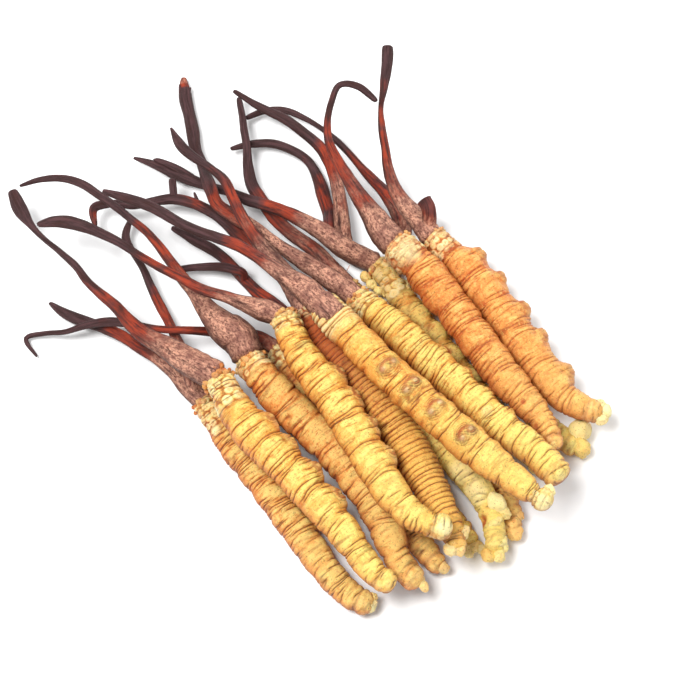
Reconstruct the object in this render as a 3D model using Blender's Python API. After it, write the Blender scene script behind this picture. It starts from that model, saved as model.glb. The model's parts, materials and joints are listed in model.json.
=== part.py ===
"""A bundle of dried cordyceps, lying as a fanned pile on a flat surface.

Every cordyceps is two natural pieces: the segmented larva and the stroma, the
dark stalk that grows out of its head. The centre lines are read off the photograph,
whose camera looks down on the pile, and each one is carried back to the height that
its own piece lies at. The pile is laid from the bottom up: a larva comes down
until it rests on what is under it at two places, one either side of its middle, and
a stroma passes in one smooth line over those laid before it.

Metres, +Z up. +Y runs from the tails to the stroma tips. The origin is at the middle
of the bundle's box, on the surface that it lies on.
"""

import math
from dataclasses import dataclass

import bmesh
import bpy
import numpy as np

MM = 0.001

# ---- the photograph's view, in its own pixels ----------------------------------------
PHOTO_CENTRE = (350.0, 350.0)
PHOTO_FOCAL_PIXELS = 2400.0
VIEW_DISTANCE = 400 * MM
VIEW_AZIMUTH = math.radians(-40)
VIEW_ELEVATION = math.radians(67)

# ---- sizes that drive the pile -------------------------------------------------------
FIT_GAP = 0.34 * MM            # between pieces that lie on each other
JOINT_GAP = 0.3 * MM           # between a larva's head and its stroma
BELLY_SINK = 0.4 * MM          # how far a belly on the surface is pressed flat
SAMPLE_STEP = 0.6 * MM         # spacing of the points that the pile is laid with
HEAD_REACH = 7 * MM            # length of stroma that lies down as one with its head
SLOPE_REACH = 9 * MM           # a stroma keeps its head's slope for about this far
BRIDGE_REACH = 13 * MM         # half the length of a stroma's rise over another
SAG_START = 5 * MM             # a sagging stroma is lowest this far from its head
SAG_LENGTH = 18 * MM
LAYING_PASSES = 20
STEEPEST = 0.24                # slope that a larva may lie at
LEVELLING = 0.3                # how much it is held level
BRANCH_LIFT = 1.6 * MM         # a branch starts where it clears its neighbours by this lift
STROMA_OWNER = 100             # added to a larva's number, for its stromata

# ---- sizes that drive one larva ------------------------------------------------------
GIRTH_SHARES = (0.22, 0.68)    # where the second and the third of the four girths lie
GROOVE_DEPTH = 0.13            # share of the radius
CREST_HALF = 0.27              # half a segment's flat top, as a share of its length
LUMP = 0.022                   # spread of the lumps, as a share of the radius
HEAD_LUMP = 0.045
SWELL = 1.04                   # a piece and its lumps lie inside this share of its radius
RINGED_SHARE = 0.965           # share of the length that the segments take
PROLEG_SPREAD = math.radians(38)
LOWER_PROLEG = 0.3             # in millimetres: the row underneath is pressed this flat
TAIL_ROUND = (0.93, 0.72)      # the last two rings, as shares of the tail's radius

# ---- sizes that drive one stroma -----------------------------------------------------
STROMA_SIDES = 6
STROMA_RING_STEP = 3.6 * MM
STROMA_FLATNESS = 0.8          # thickness over width


@dataclass(frozen=True)
class Stalk:
    """A stroma: its centre line from the base to the tip, as photo x, photo y and
    half its width in millimetres. rise is how far its tip ends above its head, and sag
    how far it dips just past it."""

    line: tuple
    rise: float
    sag: float = 0.0
    suffix: str = ""


@dataclass(frozen=True)
class Cordyceps:
    """One larva and what grows from its head.

    line is the centre line from head to tail in photo pixels, girth the radius in
    millimetres at the head, behind it, before the tail and at the tail. The prolegs
    stand out by proleg millimetres, and belly is the direction that they face, in
    degrees from straight up, clockwise seen from the tail."""

    number: str
    skin: str
    line: tuple
    girth: tuple
    stalks: tuple
    belly: float = 180.0
    proleg: float = 0.35
    segments: int = 9
    proleg_segments: tuple = (3, 4, 5, 6)
    sides: int = 9


BUNDLE = (
    Cordyceps(
        "01", "golden",
        ((204, 402), (213, 415), (223, 431), (235, 448), (250, 467), (265, 486), (279, 506),
         (298, 531), (315, 554), (333, 578), (345, 591), (360, 601), (374, 605)),
        (1.9, 2.6, 2.6, 2.0),
        (Stalk((
            (190, 390, 1.5), (175, 373, 1.15), (161, 361, 1.05), (147, 353, 1.0), (134, 343, 1.0),
            (114, 331, 1.0), (94, 325, 1.0), (75, 318, 1.0), (60, 311, 0.8), (50, 303, 0.35)), -1.0),
         Stalk((
            (196, 388, 1.0), (188, 368, 1.05), (180, 348, 1.0), (173, 332, 0.95), (165, 314, 0.95),
            (154, 294, 0.85), (145, 273, 0.7), (138, 262, 0.6), (130, 245, 0.6), (124, 233, 0.7),
            (126, 225, 0.6), (131, 220, 0.35)), 0.0, suffix="_second")),
        belly=125),
    Cordyceps(
        "02", "yellow",
        ((218, 378), (229, 400), (253, 433), (279, 460), (304, 487), (329, 515), (342, 530),
         (355, 548), (367, 565), (380, 578), (395, 586)),
        (2.3, 3.25, 2.75, 1.9),
        (Stalk((
            (206, 370, 2.3), (190, 365, 2.3), (176, 356, 2.0), (161, 345, 1.55), (141, 333, 1.25),
            (127, 321, 1.15), (116, 307, 1.0), (102, 295, 0.85), (86, 280, 0.75), (72, 262, 0.6),
            (58, 250, 0.45), (44, 239, 0.42), (35, 231, 0.45), (27, 220, 0.8), (20, 208, 1.15),
            (12, 191, 0.75)), -2.0),),
        belly=108, proleg=1.0, proleg_segments=(2, 3, 4, 5)),
    Cordyceps(
        "03", "orange",
        ((248, 358), (256, 368), (264, 379), (274, 391), (288, 405), (303, 420), (323, 438),
         (340, 457), (356, 478), (370, 497), (380, 513), (387, 531), (396, 554), (407, 573),
         (420, 586)),
        (2.5, 3.2, 2.85, 1.9),
        (Stalk((
            (243, 345, 2.8), (236, 335, 3.0), (223, 326, 2.6), (211, 315, 2.1), (201, 302, 1.6),
            (191, 289, 1.25), (177, 271, 0.9), (167, 256, 0.8), (154, 239, 0.7), (141, 226, 0.65),
            (127, 216, 0.65), (115, 206, 0.75), (102, 197, 0.75), (88, 187, 0.75), (72, 180, 0.7),
            (53, 178, 0.6), (33, 182, 0.45), (20, 186, 0.25)), -1.0),),
        belly=200),
    Cordyceps(
        "04", "yellow",
        ((284, 317), (290, 332), (297, 348), (304, 360), (321, 383), (340, 409), (356, 436),
         (376, 470), (386, 485), (397, 500), (411, 514), (426, 523), (440, 527), (453, 527)),
        (2.3, 2.95, 2.9, 2.0),
        (Stalk((
            (277, 310, 1.9), (266, 310, 1.8), (255, 308, 1.6), (242, 302, 1.2), (223, 296, 1.0),
            (204, 290, 0.95), (185, 281, 0.9), (167, 271, 0.85), (147, 260, 0.75), (134, 252, 0.7),
            (120, 243, 0.75), (102, 234, 0.85), (87, 227, 1.0), (67, 222, 1.1), (50, 221, 0.9),
            (38, 225, 0.45)), -2.0),),
        belly=108, proleg=1.1, segments=8, proleg_segments=(2, 3, 4, 5)),
    Cordyceps(
        "05", "brown",
        ((305, 312), (325, 343), (352, 372), (380, 408), (405, 440), (422, 470), (438, 502),
         (451, 528), (458, 552)),
        (2.0, 3.1, 3.0, 1.8),
        (Stalk((
            (298, 298, 1.8), (285, 275, 1.6), (267, 253, 1.3), (258, 242, 1.15), (250, 229, 1.0),
            (240, 213, 0.95), (232, 197, 0.85), (225, 182, 0.85), (216, 172, 0.75), (205, 165, 0.75),
            (192, 155, 0.9), (179, 143, 0.8), (171, 128, 0.2)), 0.0),)),
    Cordyceps(
        "06", "yellow",
        ((322, 305), (338, 322), (354, 338), (375, 360), (400, 383), (423, 403), (443, 421),
         (463, 438), (481, 453), (499, 468), (514, 479), (531, 492), (545, 501), (552, 505)),
        (2.7, 2.95, 2.95, 1.6),
        (Stalk((
            (316, 298, 2.2), (308, 292, 2.2), (293, 282, 1.8), (274, 269, 1.4), (255, 256, 1.1),
            (236, 245, 0.95), (216, 238, 0.9), (197, 231, 0.95), (178, 222, 1.0), (161, 212, 0.95),
            (145, 205, 0.95), (127, 199, 0.85), (114, 194, 0.7), (103, 191, 0.4)), -1.0),),
        belly=0),
    Cordyceps(
        "07", "yellow",
        ((357, 299), (375, 312), (390, 325), (404, 337), (417, 350), (439, 369), (460, 388),
         (481, 408), (495, 421), (515, 437), (533, 450), (549, 465), (563, 480)),
        (2.4, 2.95, 2.75, 2.5),
        (Stalk((
            (348, 292, 2.0), (335, 281, 1.8), (305, 262, 1.4), (286, 250, 1.2), (267, 237, 1.15),
            (250, 225, 1.2), (230, 214, 1.2), (216, 203, 1.1), (209, 185, 1.1), (202, 165, 1.0),
            (195, 147, 1.1), (192, 131, 1.15), (188, 112, 1.2), (184, 92, 1.2), (184, 78, 0.45)), -5.0),),
        belly=112),
    Cordyceps(
        "08", "yellow",
        ((376, 264), (403, 300), (420, 321), (438, 343), (456, 366), (475, 391), (498, 420),
         (522, 448), (545, 471)),
        (1.9, 2.3, 2.2, 1.6),
        (Stalk((
            (366, 259, 1.9), (349, 251, 1.7), (334, 242, 1.75), (318, 229, 1.65), (300, 219, 1.3),
            (278, 209, 1.1), (263, 204, 1.0), (247, 199, 0.95), (234, 194, 0.9), (217, 189, 0.85),
            (200, 184, 0.85), (187, 178, 1.0), (170, 171, 1.15), (155, 165, 0.8), (143, 161, 0.45),
            (134, 158, 0.3)), 0.0),
         Stalk((
            (341, 216, 1.25), (340, 206, 1.25), (338, 195, 1.2),
            (334, 178, 1.1), (328, 161, 1.0), (320, 147, 1.0), (309, 137, 1.0), (296, 127, 0.95),
            (284, 118, 0.85), (271, 112, 0.75), (258, 106, 0.6), (245, 98, 0.6), (234, 91, 0.4)),
            2.0, 0.6, "_second"),
         Stalk((
            (328, 210, 1.1), (325, 202, 1.2), (321, 191, 1.15), (317, 177, 0.9),
            (311, 165, 0.8), (302, 155, 0.8), (290, 149, 0.8), (277, 144, 0.85), (265, 143, 0.85),
            (252, 144, 0.75), (240, 146, 0.55), (231, 149, 0.4)), 0.0, 0.8, "_fork")),
        belly=35, proleg=0.3, segments=8, sides=8),
    Cordyceps(
        "09", "orange",
        ((396, 245), (409, 257), (425, 272), (439, 290), (456, 311), (473, 334), (491, 358),
         (510, 383), (530, 405), (544, 423), (553, 438), (558, 449)),
        (2.9, 3.15, 2.85, 1.5),
        (Stalk((
            (389, 241, 2.5), (383, 232, 2.35), (373, 216, 1.9), (364, 203, 1.6), (354, 188, 1.3),
            (347, 177, 1.1), (340, 166, 0.95), (334, 154, 0.85), (329, 140, 0.75), (327, 128, 0.65),
            (328, 116, 0.62), (330, 104, 0.62), (333, 93, 0.6), (339, 85, 0.6), (348, 83, 0.6),
            (358, 86, 0.6), (368, 93, 0.6), (376, 101, 0.4)), 2.0),)),
    Cordyceps(
        "10", "orange",
        ((433, 239), (449, 253), (462, 267), (477, 284), (496, 308), (514, 334), (529, 354),
         (543, 373), (560, 394), (579, 407), (603, 414)),
        (2.3, 3.2, 3.1, 1.9),
        (Stalk((
            (426, 231, 2.2), (418, 220, 1.85), (410, 211, 1.55), (402, 202, 1.3), (395, 189, 1.1),
            (389, 172, 0.95), (387, 156, 0.75), (384, 138, 0.65), (381, 118, 0.55), (381, 101, 0.45),
            (384, 88, 0.75), (387, 72, 0.95), (388, 47, 0.9)), 3.0),
         Stalk(((446, 233, 1.2), (439, 221, 1.3), (431, 209, 1.3), (424, 199, 1.2)), 0.0,
               suffix="_second")),
        belly=108, proleg=1.5, segments=7, proleg_segments=(1, 2, 3, 4, 5)),
    Cordyceps(
        "11", "yellow",
        ((330, 317), (378, 376), (424, 429), (455, 460), (472, 480), (486, 503), (494, 530),
         (497, 554)),
        (1.7, 2.4, 2.4, 1.7),
        (Stalk((
            (315, 302, 1.5), (300, 287, 1.5), (280, 270, 1.4), (262, 256, 1.3), (247, 243, 1.2),
            (235, 230, 1.1), (221, 219, 1.0), (206, 209, 0.95), (189, 202, 0.9), (172, 199, 0.85),
            (157, 201, 0.75), (145, 204, 0.7), (130, 206, 0.65), (115, 204, 0.6), (102, 203, 0.65),
            (94, 208, 0.7), (91, 217, 0.6), (96, 226, 0.35)), 0.0),),
        belly=60, proleg=0.2, segments=8, sides=8),
    Cordyceps(
        "12", "orange",
        ((349, 286), (392, 340), (436, 395), (474, 443), (496, 474), (509, 503), (513, 534)),
        (1.8, 2.2, 2.1, 1.5),
        (Stalk((
            (333, 269, 1.5), (317, 252, 1.4), (298, 238, 1.3), (280, 224, 1.2), (268, 209, 1.15),
            (258, 196, 1.05), (251, 183, 1.0), (248, 166, 0.9), (247, 149, 0.75), (244, 134, 0.7),
            (242, 115, 0.65), (239, 98, 0.5)), 0.0),),
        segments=8, sides=8),
    Cordyceps(
        "13", "orange",
        ((275, 351), (318, 403), (361, 456), (399, 509), (421, 545), (443, 571)),
        (1.8, 2.3, 2.3, 1.7),
        (Stalk((
            (261, 342, 1.5), (249, 336, 1.3), (235, 333, 1.1), (220, 332, 0.9), (206, 331, 0.8),
            (191, 330, 0.7), (176, 330, 0.7), (161, 330, 0.7), (147, 327, 0.65), (132, 324, 0.65),
            (120, 322, 0.7), (107, 322, 0.75), (91, 324, 0.75), (74, 329, 0.6), (58, 333, 0.5),
            (42, 333, 0.5), (31, 333, 0.45), (26, 339, 0.45), (27, 347, 0.45), (37, 356, 0.25)), -1.0),),
        segments=8, sides=8),
    Cordyceps(
        "14", "yellow",
        ((302, 334), (348, 389), (393, 443), (435, 496), (458, 526), (476, 546)),
        (1.6, 2.3, 2.2, 1.5),
        (Stalk((
            (289, 320, 1.4), (275, 306, 1.3), (261, 295, 1.1), (248, 284, 1.0), (236, 271, 0.9),
            (224, 258, 0.9), (211, 249, 0.9), (195, 241, 0.85), (182, 233, 0.7), (172, 228, 0.4)), -1.0),
         Stalk((
            (240, 271, 0.8), (229, 268, 0.9), (216, 267, 0.9), (200, 267, 0.8), (185, 268, 0.6),
            (174, 270, 0.35)), -1.0, suffix="_fork")),
        segments=8, sides=8),
    Cordyceps(
        "15", "yellow",
        ((401, 246), (439, 294), (478, 342), (514, 388), (540, 419), (560, 437), (581, 450)),
        (1.7, 2.15, 2.1, 1.9),
        (Stalk((
            (403, 230, 1.6), (398, 212, 1.35), (386, 195, 1.1), (373, 181, 0.9), (360, 167, 0.75),
            (348, 153, 0.65), (335, 140, 0.6), (322, 129, 0.5), (309, 121, 0.5), (298, 115, 0.6),
            (288, 111, 0.65), (275, 110, 0.6), (262, 112, 0.6), (246, 118, 0.4)), 0.0),),
        segments=8, sides=8),
)

# Bottom to top: the larva's number, and after a dash which of its stromata.
LAYING_ORDER = (
    "01", "13", "14", "12", "11", "08", "15", "10",
    "01-0", "01-1", "13-0", "14-0", "14-1", "11-0", "15-0", "08-2", "12-0", "08-0", "08-1",
    "03", "03-0", "02", "02-0", "09", "07", "07-0", "05", "05-0", "10-0", "10-1", "09-0",
    "04", "04-0", "06", "06-0",
)

SKIN_COLOURS = {
    "golden": (0.80, 0.45, 0.12),
    "yellow": (0.86, 0.58, 0.20),
    "orange": (0.76, 0.36, 0.09),
    "brown": (0.58, 0.24, 0.06),
}
STROMA_COLOUR = (0.10, 0.045, 0.035)
SKIN_ROUGHNESS = 0.62
STROMA_ROUGHNESS = 0.7


# ---- curves --------------------------------------------------------------------------
def smooth_curve(points, per_span=24):
    """A curve through the points, in any number of columns: centripetal Catmull-Rom."""
    pts = np.array(points, float)
    pts = np.vstack([2 * pts[0] - pts[1], pts, 2 * pts[-1] - pts[-2]])
    made = []
    for i in range(1, len(pts) - 2):
        p0, p1, p2, p3 = pts[i - 1:i + 3]
        knots = [0.0]
        for a, b in ((p0, p1), (p1, p2), (p2, p3)):
            knots.append(knots[-1] + math.sqrt(np.linalg.norm((b - a)[:2])))
        t0, t1, t2, t3 = knots
        for t in np.linspace(t1, t2, per_span, endpoint=False):
            a1 = ((t1 - t) * p0 + (t - t0) * p1) / (t1 - t0)
            a2 = ((t2 - t) * p1 + (t - t1) * p2) / (t2 - t1)
            a3 = ((t3 - t) * p2 + (t - t2) * p3) / (t3 - t2)
            b1 = ((t2 - t) * a1 + (t - t0) * a2) / (t2 - t0)
            b2 = ((t3 - t) * a2 + (t - t1) * a3) / (t3 - t1)
            made.append(((t2 - t) * b1 + (t - t1) * b2) / (t2 - t1))
    made.append(pts[-2])
    return np.array(made)


def lengths_along(points):
    """The distance from the first point to each point, along the line."""
    steps = np.linalg.norm(np.diff(points, axis=0), axis=1)
    return np.concatenate([[0.0], np.cumsum(steps)])


def resample(points, step, columns):
    """The line with its points about one step apart. Length is measured in the first columns."""
    along = lengths_along(points[:, :columns])
    count = max(4, int(round(along[-1] / step)) + 1)
    wanted = np.linspace(0, along[-1], count)
    return np.stack([np.interp(wanted, along, points[:, k]) for k in range(points.shape[1])], axis=1)


def smooth_step(share):
    """0 to 1 with level ends."""
    share = np.clip(share, 0, 1)
    return share * share * (3 - 2 * share)


# ---- the view ------------------------------------------------------------------------
def view_axes():
    """The camera's back, right and up directions."""
    sin_a, cos_a = math.sin(VIEW_AZIMUTH), math.cos(VIEW_AZIMUTH)
    sin_e, cos_e = math.sin(VIEW_ELEVATION), math.cos(VIEW_ELEVATION)
    back = np.array([sin_a * cos_e, -cos_a * cos_e, sin_e])
    right = np.array([cos_a, sin_a, 0.0])
    return back, right, np.cross(back, right)


def plan_points(pixels, heights):
    """Where the photo's pixels lie when their points are at these heights."""
    back, right, up = view_axes()
    camera = back * VIEW_DISTANCE
    across = (pixels[:, 0] - PHOTO_CENTRE[0])[:, None] * right
    upward = (PHOTO_CENTRE[1] - pixels[:, 1])[:, None] * up
    rays = -back * PHOTO_FOCAL_PIXELS + across + upward
    reach = (heights - camera[2]) / rays[:, 2]
    return camera[:2] + rays[:, :2] * reach[:, None]


# ---- laying the pile -----------------------------------------------------------------
class Pile:
    """What has been laid so far, as overlapping balls: x, y, z, radius and owner."""

    def __init__(self):
        self.balls = np.zeros((0, 4))
        self.owners = np.zeros(0, int)

    def add(self, line, radii, owner):
        """Lays a piece: its centre line and the radius round each point."""
        self.balls = np.vstack([self.balls, np.column_stack([line, radii])])
        self.owners = np.concatenate([self.owners, np.full(len(line), owner)])

    def heights_needed(self, plan, radii, sink=0.0, skipped=()):
        """The lowest height at which each point clears the surface and what is laid.
        On the surface it may lie lower by sink."""
        needed = radii - sink
        balls = self.balls[~np.isin(self.owners, skipped)]
        if len(balls):
            apart = np.linalg.norm(plan[:, None, :] - balls[None, :, :2], axis=2)
            touch = radii[:, None] + balls[None, :, 3] + FIT_GAP
            clear = np.where(apart < touch, np.sqrt(np.maximum(touch ** 2 - apart ** 2, 0)), -1.0)
            over = np.where(clear >= 0, balls[None, :, 2] + clear, -1.0)
            needed = np.maximum(needed, over.max(axis=1))
        return needed


def resting_line(along, needed, middle):
    """A low and nearly level straight line over the needed heights: its height at the
    middle, and its slope."""
    slopes = np.linspace(-STEEPEST, STEEPEST, 121)
    at_middle = (needed[None, :] - slopes[:, None] * (along - middle)[None, :]).max(axis=1)
    best = np.argmin(at_middle + LEVELLING * np.abs(slopes) * np.ptp(along))
    return at_middle[best], slopes[best]


def raised(along, heights, pile, plan, radii, skipped, base_free):
    """Raises a stroma in smooth bridges until it clears what is laid."""
    heights = heights.copy()
    for _ in range(30):
        missing = pile.heights_needed(plan, radii, skipped=skipped) - heights
        if missing.max() < 0.01 * MM:
            break
        worst = int(np.argmax(missing))
        before = BRIDGE_REACH if base_free else max(min(BRIDGE_REACH, along[worst]), 1e-6)
        offset = along - along[worst]
        share = np.where(offset < 0, -offset / before, offset / BRIDGE_REACH)
        bridge = np.where(share < 1, (1 - np.clip(share, 0, 1) ** 2) ** 2, 0)
        heights = heights + (missing[worst] + 0.01 * MM) * bridge
    return heights


def girth_along(share, girth):
    """A larva's radius at a share of its length, from head to tail."""
    head, front, back, tail = (value * MM for value in girth)
    widest, narrowing = GIRTH_SHARES
    radii = head + (front - head) * smooth_step(share / widest)
    radii = radii + (back - front) * smooth_step((share - widest) / (narrowing - widest))
    return radii + (tail - back) * smooth_step((share - narrowing) / (1 - narrowing))


def lay_bundle():
    """Lays every piece. Returns name to (centre line, radii), in metres."""
    pile = Pile()
    laid = {}
    heads = {}
    for entry in LAYING_ORDER:
        number, _, which = entry.partition("-")
        cordyceps = next(c for c in BUNDLE if c.number == number)
        if which:
            lay_stroma(pile, cordyceps, int(which), laid, heads[number])
        else:
            heads[number] = lay_larva(pile, cordyceps, laid)
    return laid


def whole_line(cordyceps):
    """Tail to stroma tip as one curve, and the curve's index at the head. The columns
    are photo x, photo y and the stroma's radius."""
    stalk = [(x, y, r * MM) for x, y, r in cordyceps.stalks[0].line]
    body = [(x, y, stalk[0][2]) for x, y in reversed(cordyceps.line)]
    curve = smooth_curve(body + stalk)
    head = np.argmin(np.linalg.norm(curve[:, :2] - np.array(cordyceps.line[0]), axis=1))
    return curve, int(head)


def sample_pixels():
    """SAMPLE_STEP in photo pixels, at the surface."""
    return SAMPLE_STEP * PHOTO_FOCAL_PIXELS / VIEW_DISTANCE


def segment_crests(segments):
    """The middle of each segment, as a share of the larva's length."""
    return (np.arange(segments) + 0.5) * RINGED_SHARE / segments


def proleg_balls(cordyceps, plan, radii):
    """Balls over the prolegs: index of the line's point, way out from it and radius."""
    crests = segment_crests(cordyceps.segments)[list(cordyceps.proleg_segments)]
    indices = np.round(crests * (len(plan) - 1)).astype(int)
    tangent = np.gradient(plan, axis=0)[indices]
    tangent /= np.linalg.norm(tangent, axis=1)[:, None]
    side = np.column_stack([-tangent[:, 1], tangent[:, 0], np.zeros(len(indices))])
    belly = math.radians(cordyceps.belly)
    balls = []
    for sign, height in ((-1, cordyceps.proleg), (1, min(cordyceps.proleg, LOWER_PROLEG))):
        angle = belly + sign * PROLEG_SPREAD
        out = side * math.sin(angle) + np.array([0, 0, math.cos(angle)])
        radius = radii[indices] * 0.5
        reach = radii[indices] + height * MM - radius
        balls.append((indices, out * reach[:, None], radius))
    return balls


def lay_larva(pile, cordyceps, laid):
    """Brings one larva down on the pile, with the first of its stroma. Returns
    its slope away from the head, and its head's height."""
    curve, head = whole_line(cordyceps)
    body = resample(curve[head::-1], sample_pixels(), 2)
    front = resample(curve[head:], sample_pixels(), 2)
    share = lengths_along(body[:, :2]) / lengths_along(body[:, :2])[-1]
    radii = girth_along(share, cordyceps.girth) * SWELL
    base = front[1:int(round(HEAD_REACH / SAMPLE_STEP))]
    pixels = np.vstack([base[::-1, :2], body[:, :2]])
    all_radii = np.concatenate([base[::-1, 2] * SWELL, radii])
    heights = np.full(len(pixels), all_radii.max())
    for _ in range(LAYING_PASSES):
        plan = plan_points(pixels, heights)
        along = lengths_along(plan)
        along -= along[len(base)]
        needed = pile.heights_needed(plan, all_radii, BELLY_SINK)
        for indices, out, radius in proleg_balls(cordyceps, plan[len(base):], radii):
            points = indices + len(base)
            lifted = pile.heights_needed(plan[points] + out[:, :2], radius, BELLY_SINK) - out[:, 2]
            needed[points] = np.maximum(needed[points], lifted)
        middle = along[-1] * 0.48
        at_middle, slope = resting_line(along, needed, middle)
        heights = (heights + at_middle + slope * (along - middle)) / 2
    line = np.column_stack([plan, heights])[len(base):]
    laid["larva_" + cordyceps.number] = (line, radii / SWELL)
    pile.add(line, radii, int(cordyceps.number))
    for indices, out, radius in proleg_balls(cordyceps, plan[len(base):], radii):
        pile.add(line[indices] + out, radius, int(cordyceps.number))
    return slope, heights[len(base)]


def lay_stroma(pile, cordyceps, which, laid, head):
    """Draws one stroma from its head to its tip, over what is laid."""
    number = int(cordyceps.number)
    slope, head_height = head
    stalk = cordyceps.stalks[which]
    if which:
        curve = smooth_curve([(x, y, r * MM) for x, y, r in stalk.line])
    else:
        curve, start = whole_line(cordyceps)
        curve = curve[start:]
    front = resample(curve, sample_pixels(), 2)
    if which:
        wide = front[:, 2] * SWELL
        plan = plan_points(front, np.full(len(front), head_height))
        missing = pile.heights_needed(plan, wide) - head_height
        front = front[np.argmax(missing < BRANCH_LIFT):]
    radii = front[:, 2]
    wide = radii * SWELL
    skipped = (number,) if which == 0 else ()
    heights = np.full(len(front), head_height)
    for _ in range(LAYING_PASSES):
        plan = plan_points(front, heights)
        along = lengths_along(plan)
        carried = -slope * SLOPE_REACH * (1 - np.exp(-along / SLOPE_REACH))
        dip = smooth_step(along / SAG_START) * (1 - smooth_step((along - SAG_START) / SAG_LENGTH))
        natural = head_height + carried - stalk.sag * MM * dip
        natural = natural + stalk.rise * MM * smooth_step(along / along[-1])
        natural = np.maximum(natural, wide)
        heights = (heights + raised(along, natural, pile, plan, wide, skipped, which > 0)) / 2
    line = np.column_stack([plan, heights])
    laid["stroma_" + cordyceps.number + stalk.suffix] = (line, radii)
    pile.add(line, wide, number + STROMA_OWNER)


# ---- solids --------------------------------------------------------------------------
def frames_along(line, start=None):
    """Side and top directions at each point. The side stays level. start is the
    direction at the first point, where another piece joins on."""
    tangent = np.gradient(line, axis=0)
    if start is not None:
        tangent[0] = start
    tangent /= np.linalg.norm(tangent, axis=1)[:, None]
    side = np.cross(np.array([0.0, 0.0, 1.0]), tangent)
    side /= np.linalg.norm(side, axis=1)[:, None]
    return side, np.cross(tangent, side)


def at_distance(values, along, distance):
    """The row of values at a distance along the line."""
    return np.array([np.interp(distance, along, values[:, k]) for k in range(values.shape[1])])


def ring_angles(sides):
    """Even angles from the top, towards the side, with a facet centred underneath."""
    return math.pi + (np.arange(sides) + 0.5) * 2 * math.pi / sides


def ring(centre, side, top, radii, flatness=1.0):
    """One section: points at the ring's angles."""
    angles = ring_angles(len(radii))
    across = np.outer(np.sin(angles) * radii, side)
    upward = np.outer(np.cos(angles) * radii * flatness, top)
    return centre + across + upward


def larva_stations(length, segments):
    """Distance from the head, share of the radius and segment of each ring."""
    pitch = length * RINGED_SHARE / segments
    stations = [(JOINT_GAP / 2, 0.9, -1)]
    for k in range(segments):
        crest = (k + 0.5) * pitch
        stations.append((crest - CREST_HALF * pitch, 1.0, k))
        stations.append((crest + CREST_HALF * pitch, 1.0, k))
        if k < segments - 1:
            stations.append(((k + 1) * pitch, 1.0 - GROOVE_DEPTH, -1))
    stations.append((length * 0.985, TAIL_ROUND[1], -1))
    return stations


def proleg_row(angles, middle):
    """A row of prolegs round a section: 1 at its middle, and nothing away from it."""
    off = np.abs((angles - middle + math.pi) % (2 * math.pi) - math.pi)
    return np.exp(-(off / (PROLEG_SPREAD * 0.55)) ** 2)


def larva_rings(cordyceps, line, radii, start):
    """The sections of one larva, with its segments, lumps and prolegs."""
    rng = np.random.default_rng(100 + int(cordyceps.number))
    sides = cordyceps.sides
    along = lengths_along(line)
    side, top = frames_along(line, start)
    belly = math.radians(cordyceps.belly)
    angles = ring_angles(sides)
    upper = proleg_row(angles, belly - PROLEG_SPREAD) * cordyceps.proleg
    lower = proleg_row(angles, belly + PROLEG_SPREAD) * min(cordyceps.proleg, LOWER_PROLEG)
    rings = []
    for distance, share, segment in larva_stations(along[-1], cordyceps.segments):
        radius = np.interp(distance, along, radii) * share
        spread = HEAD_LUMP if distance < 0.12 * along[-1] else LUMP
        lumps = np.clip(rng.normal(0, spread, sides), -0.06, 0.035)
        around = radius * (1 + lumps)
        if segment in cordyceps.proleg_segments:
            around = around + (upper + lower) * MM
        centre = at_distance(line, along, distance)
        ring_side = at_distance(side, along, distance)
        ring_top = at_distance(top, along, distance)
        rings.append(ring(centre, ring_side, ring_top, around))
    return rings, line[-1]


def stroma_rings(line, radii, start):
    """The sections of one stroma, from its base to its tip."""
    along = lengths_along(line)
    side, top = frames_along(line, start)
    gap = 0.0 if start is None else JOINT_GAP / 2
    count = max(5, int(round((along[-1] - gap) / STROMA_RING_STEP)) + 1)
    rings = []
    for distance in np.linspace(gap, along[-1] - 0.25 * MM, count):
        radius = np.interp(distance, along, radii)
        flatness = 1.0 + (STROMA_FLATNESS - 1.0) * smooth_step(distance / (0.3 * along[-1]))
        centre = at_distance(line, along, distance)
        ring_side = at_distance(side, along, distance)
        ring_top = at_distance(top, along, distance)
        rings.append(ring(centre, ring_side, ring_top, np.full(STROMA_SIDES, radius), flatness))
    return rings, line[-1]


def loft(name, rings, end, material, collection):
    """A closed solid through the sections, flat at the first and pointed at the last."""
    mesh = bpy.data.meshes.new(name)
    body = bmesh.new()
    rows = [[body.verts.new(p) for p in section] for section in rings]
    sides = len(rows[0])
    for near, far in zip(rows, rows[1:]):
        for j in range(sides):
            k = (j + 1) % sides
            body.faces.new((near[j], near[k], far[k], far[j]))
    base = body.verts.new(np.mean(rings[0], axis=0))
    tip = body.verts.new(end)
    for j in range(sides):
        k = (j + 1) % sides
        body.faces.new((base, rows[0][k], rows[0][j]))
        body.faces.new((tip, rows[-1][j], rows[-1][k]))
    bmesh.ops.triangulate(body, faces=body.faces[:])
    bmesh.ops.recalc_face_normals(body, faces=body.faces[:])
    body.to_mesh(mesh)
    body.free()
    mesh.materials.append(material)
    mesh.shade_smooth()
    mesh.set_sharp_from_angle(angle=math.radians(60))
    made = bpy.data.objects.new(name, mesh)
    collection.objects.link(made)
    return made


def skin_material(name, colour, roughness):
    """A plain dry skin."""
    material = bpy.data.materials.new(name)
    material.use_nodes = True
    shader = material.node_tree.nodes["Principled BSDF"]
    shader.inputs["Base Color"].default_value = (*colour, 1.0)
    shader.inputs["Roughness"].default_value = roughness
    shader.inputs["Metallic"].default_value = 0.0
    return material


def clear_scene():
    """Removes what the file holds, and its meshes and materials."""
    for thing in list(bpy.data.objects):
        bpy.data.objects.remove(thing, do_unlink=True)


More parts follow.
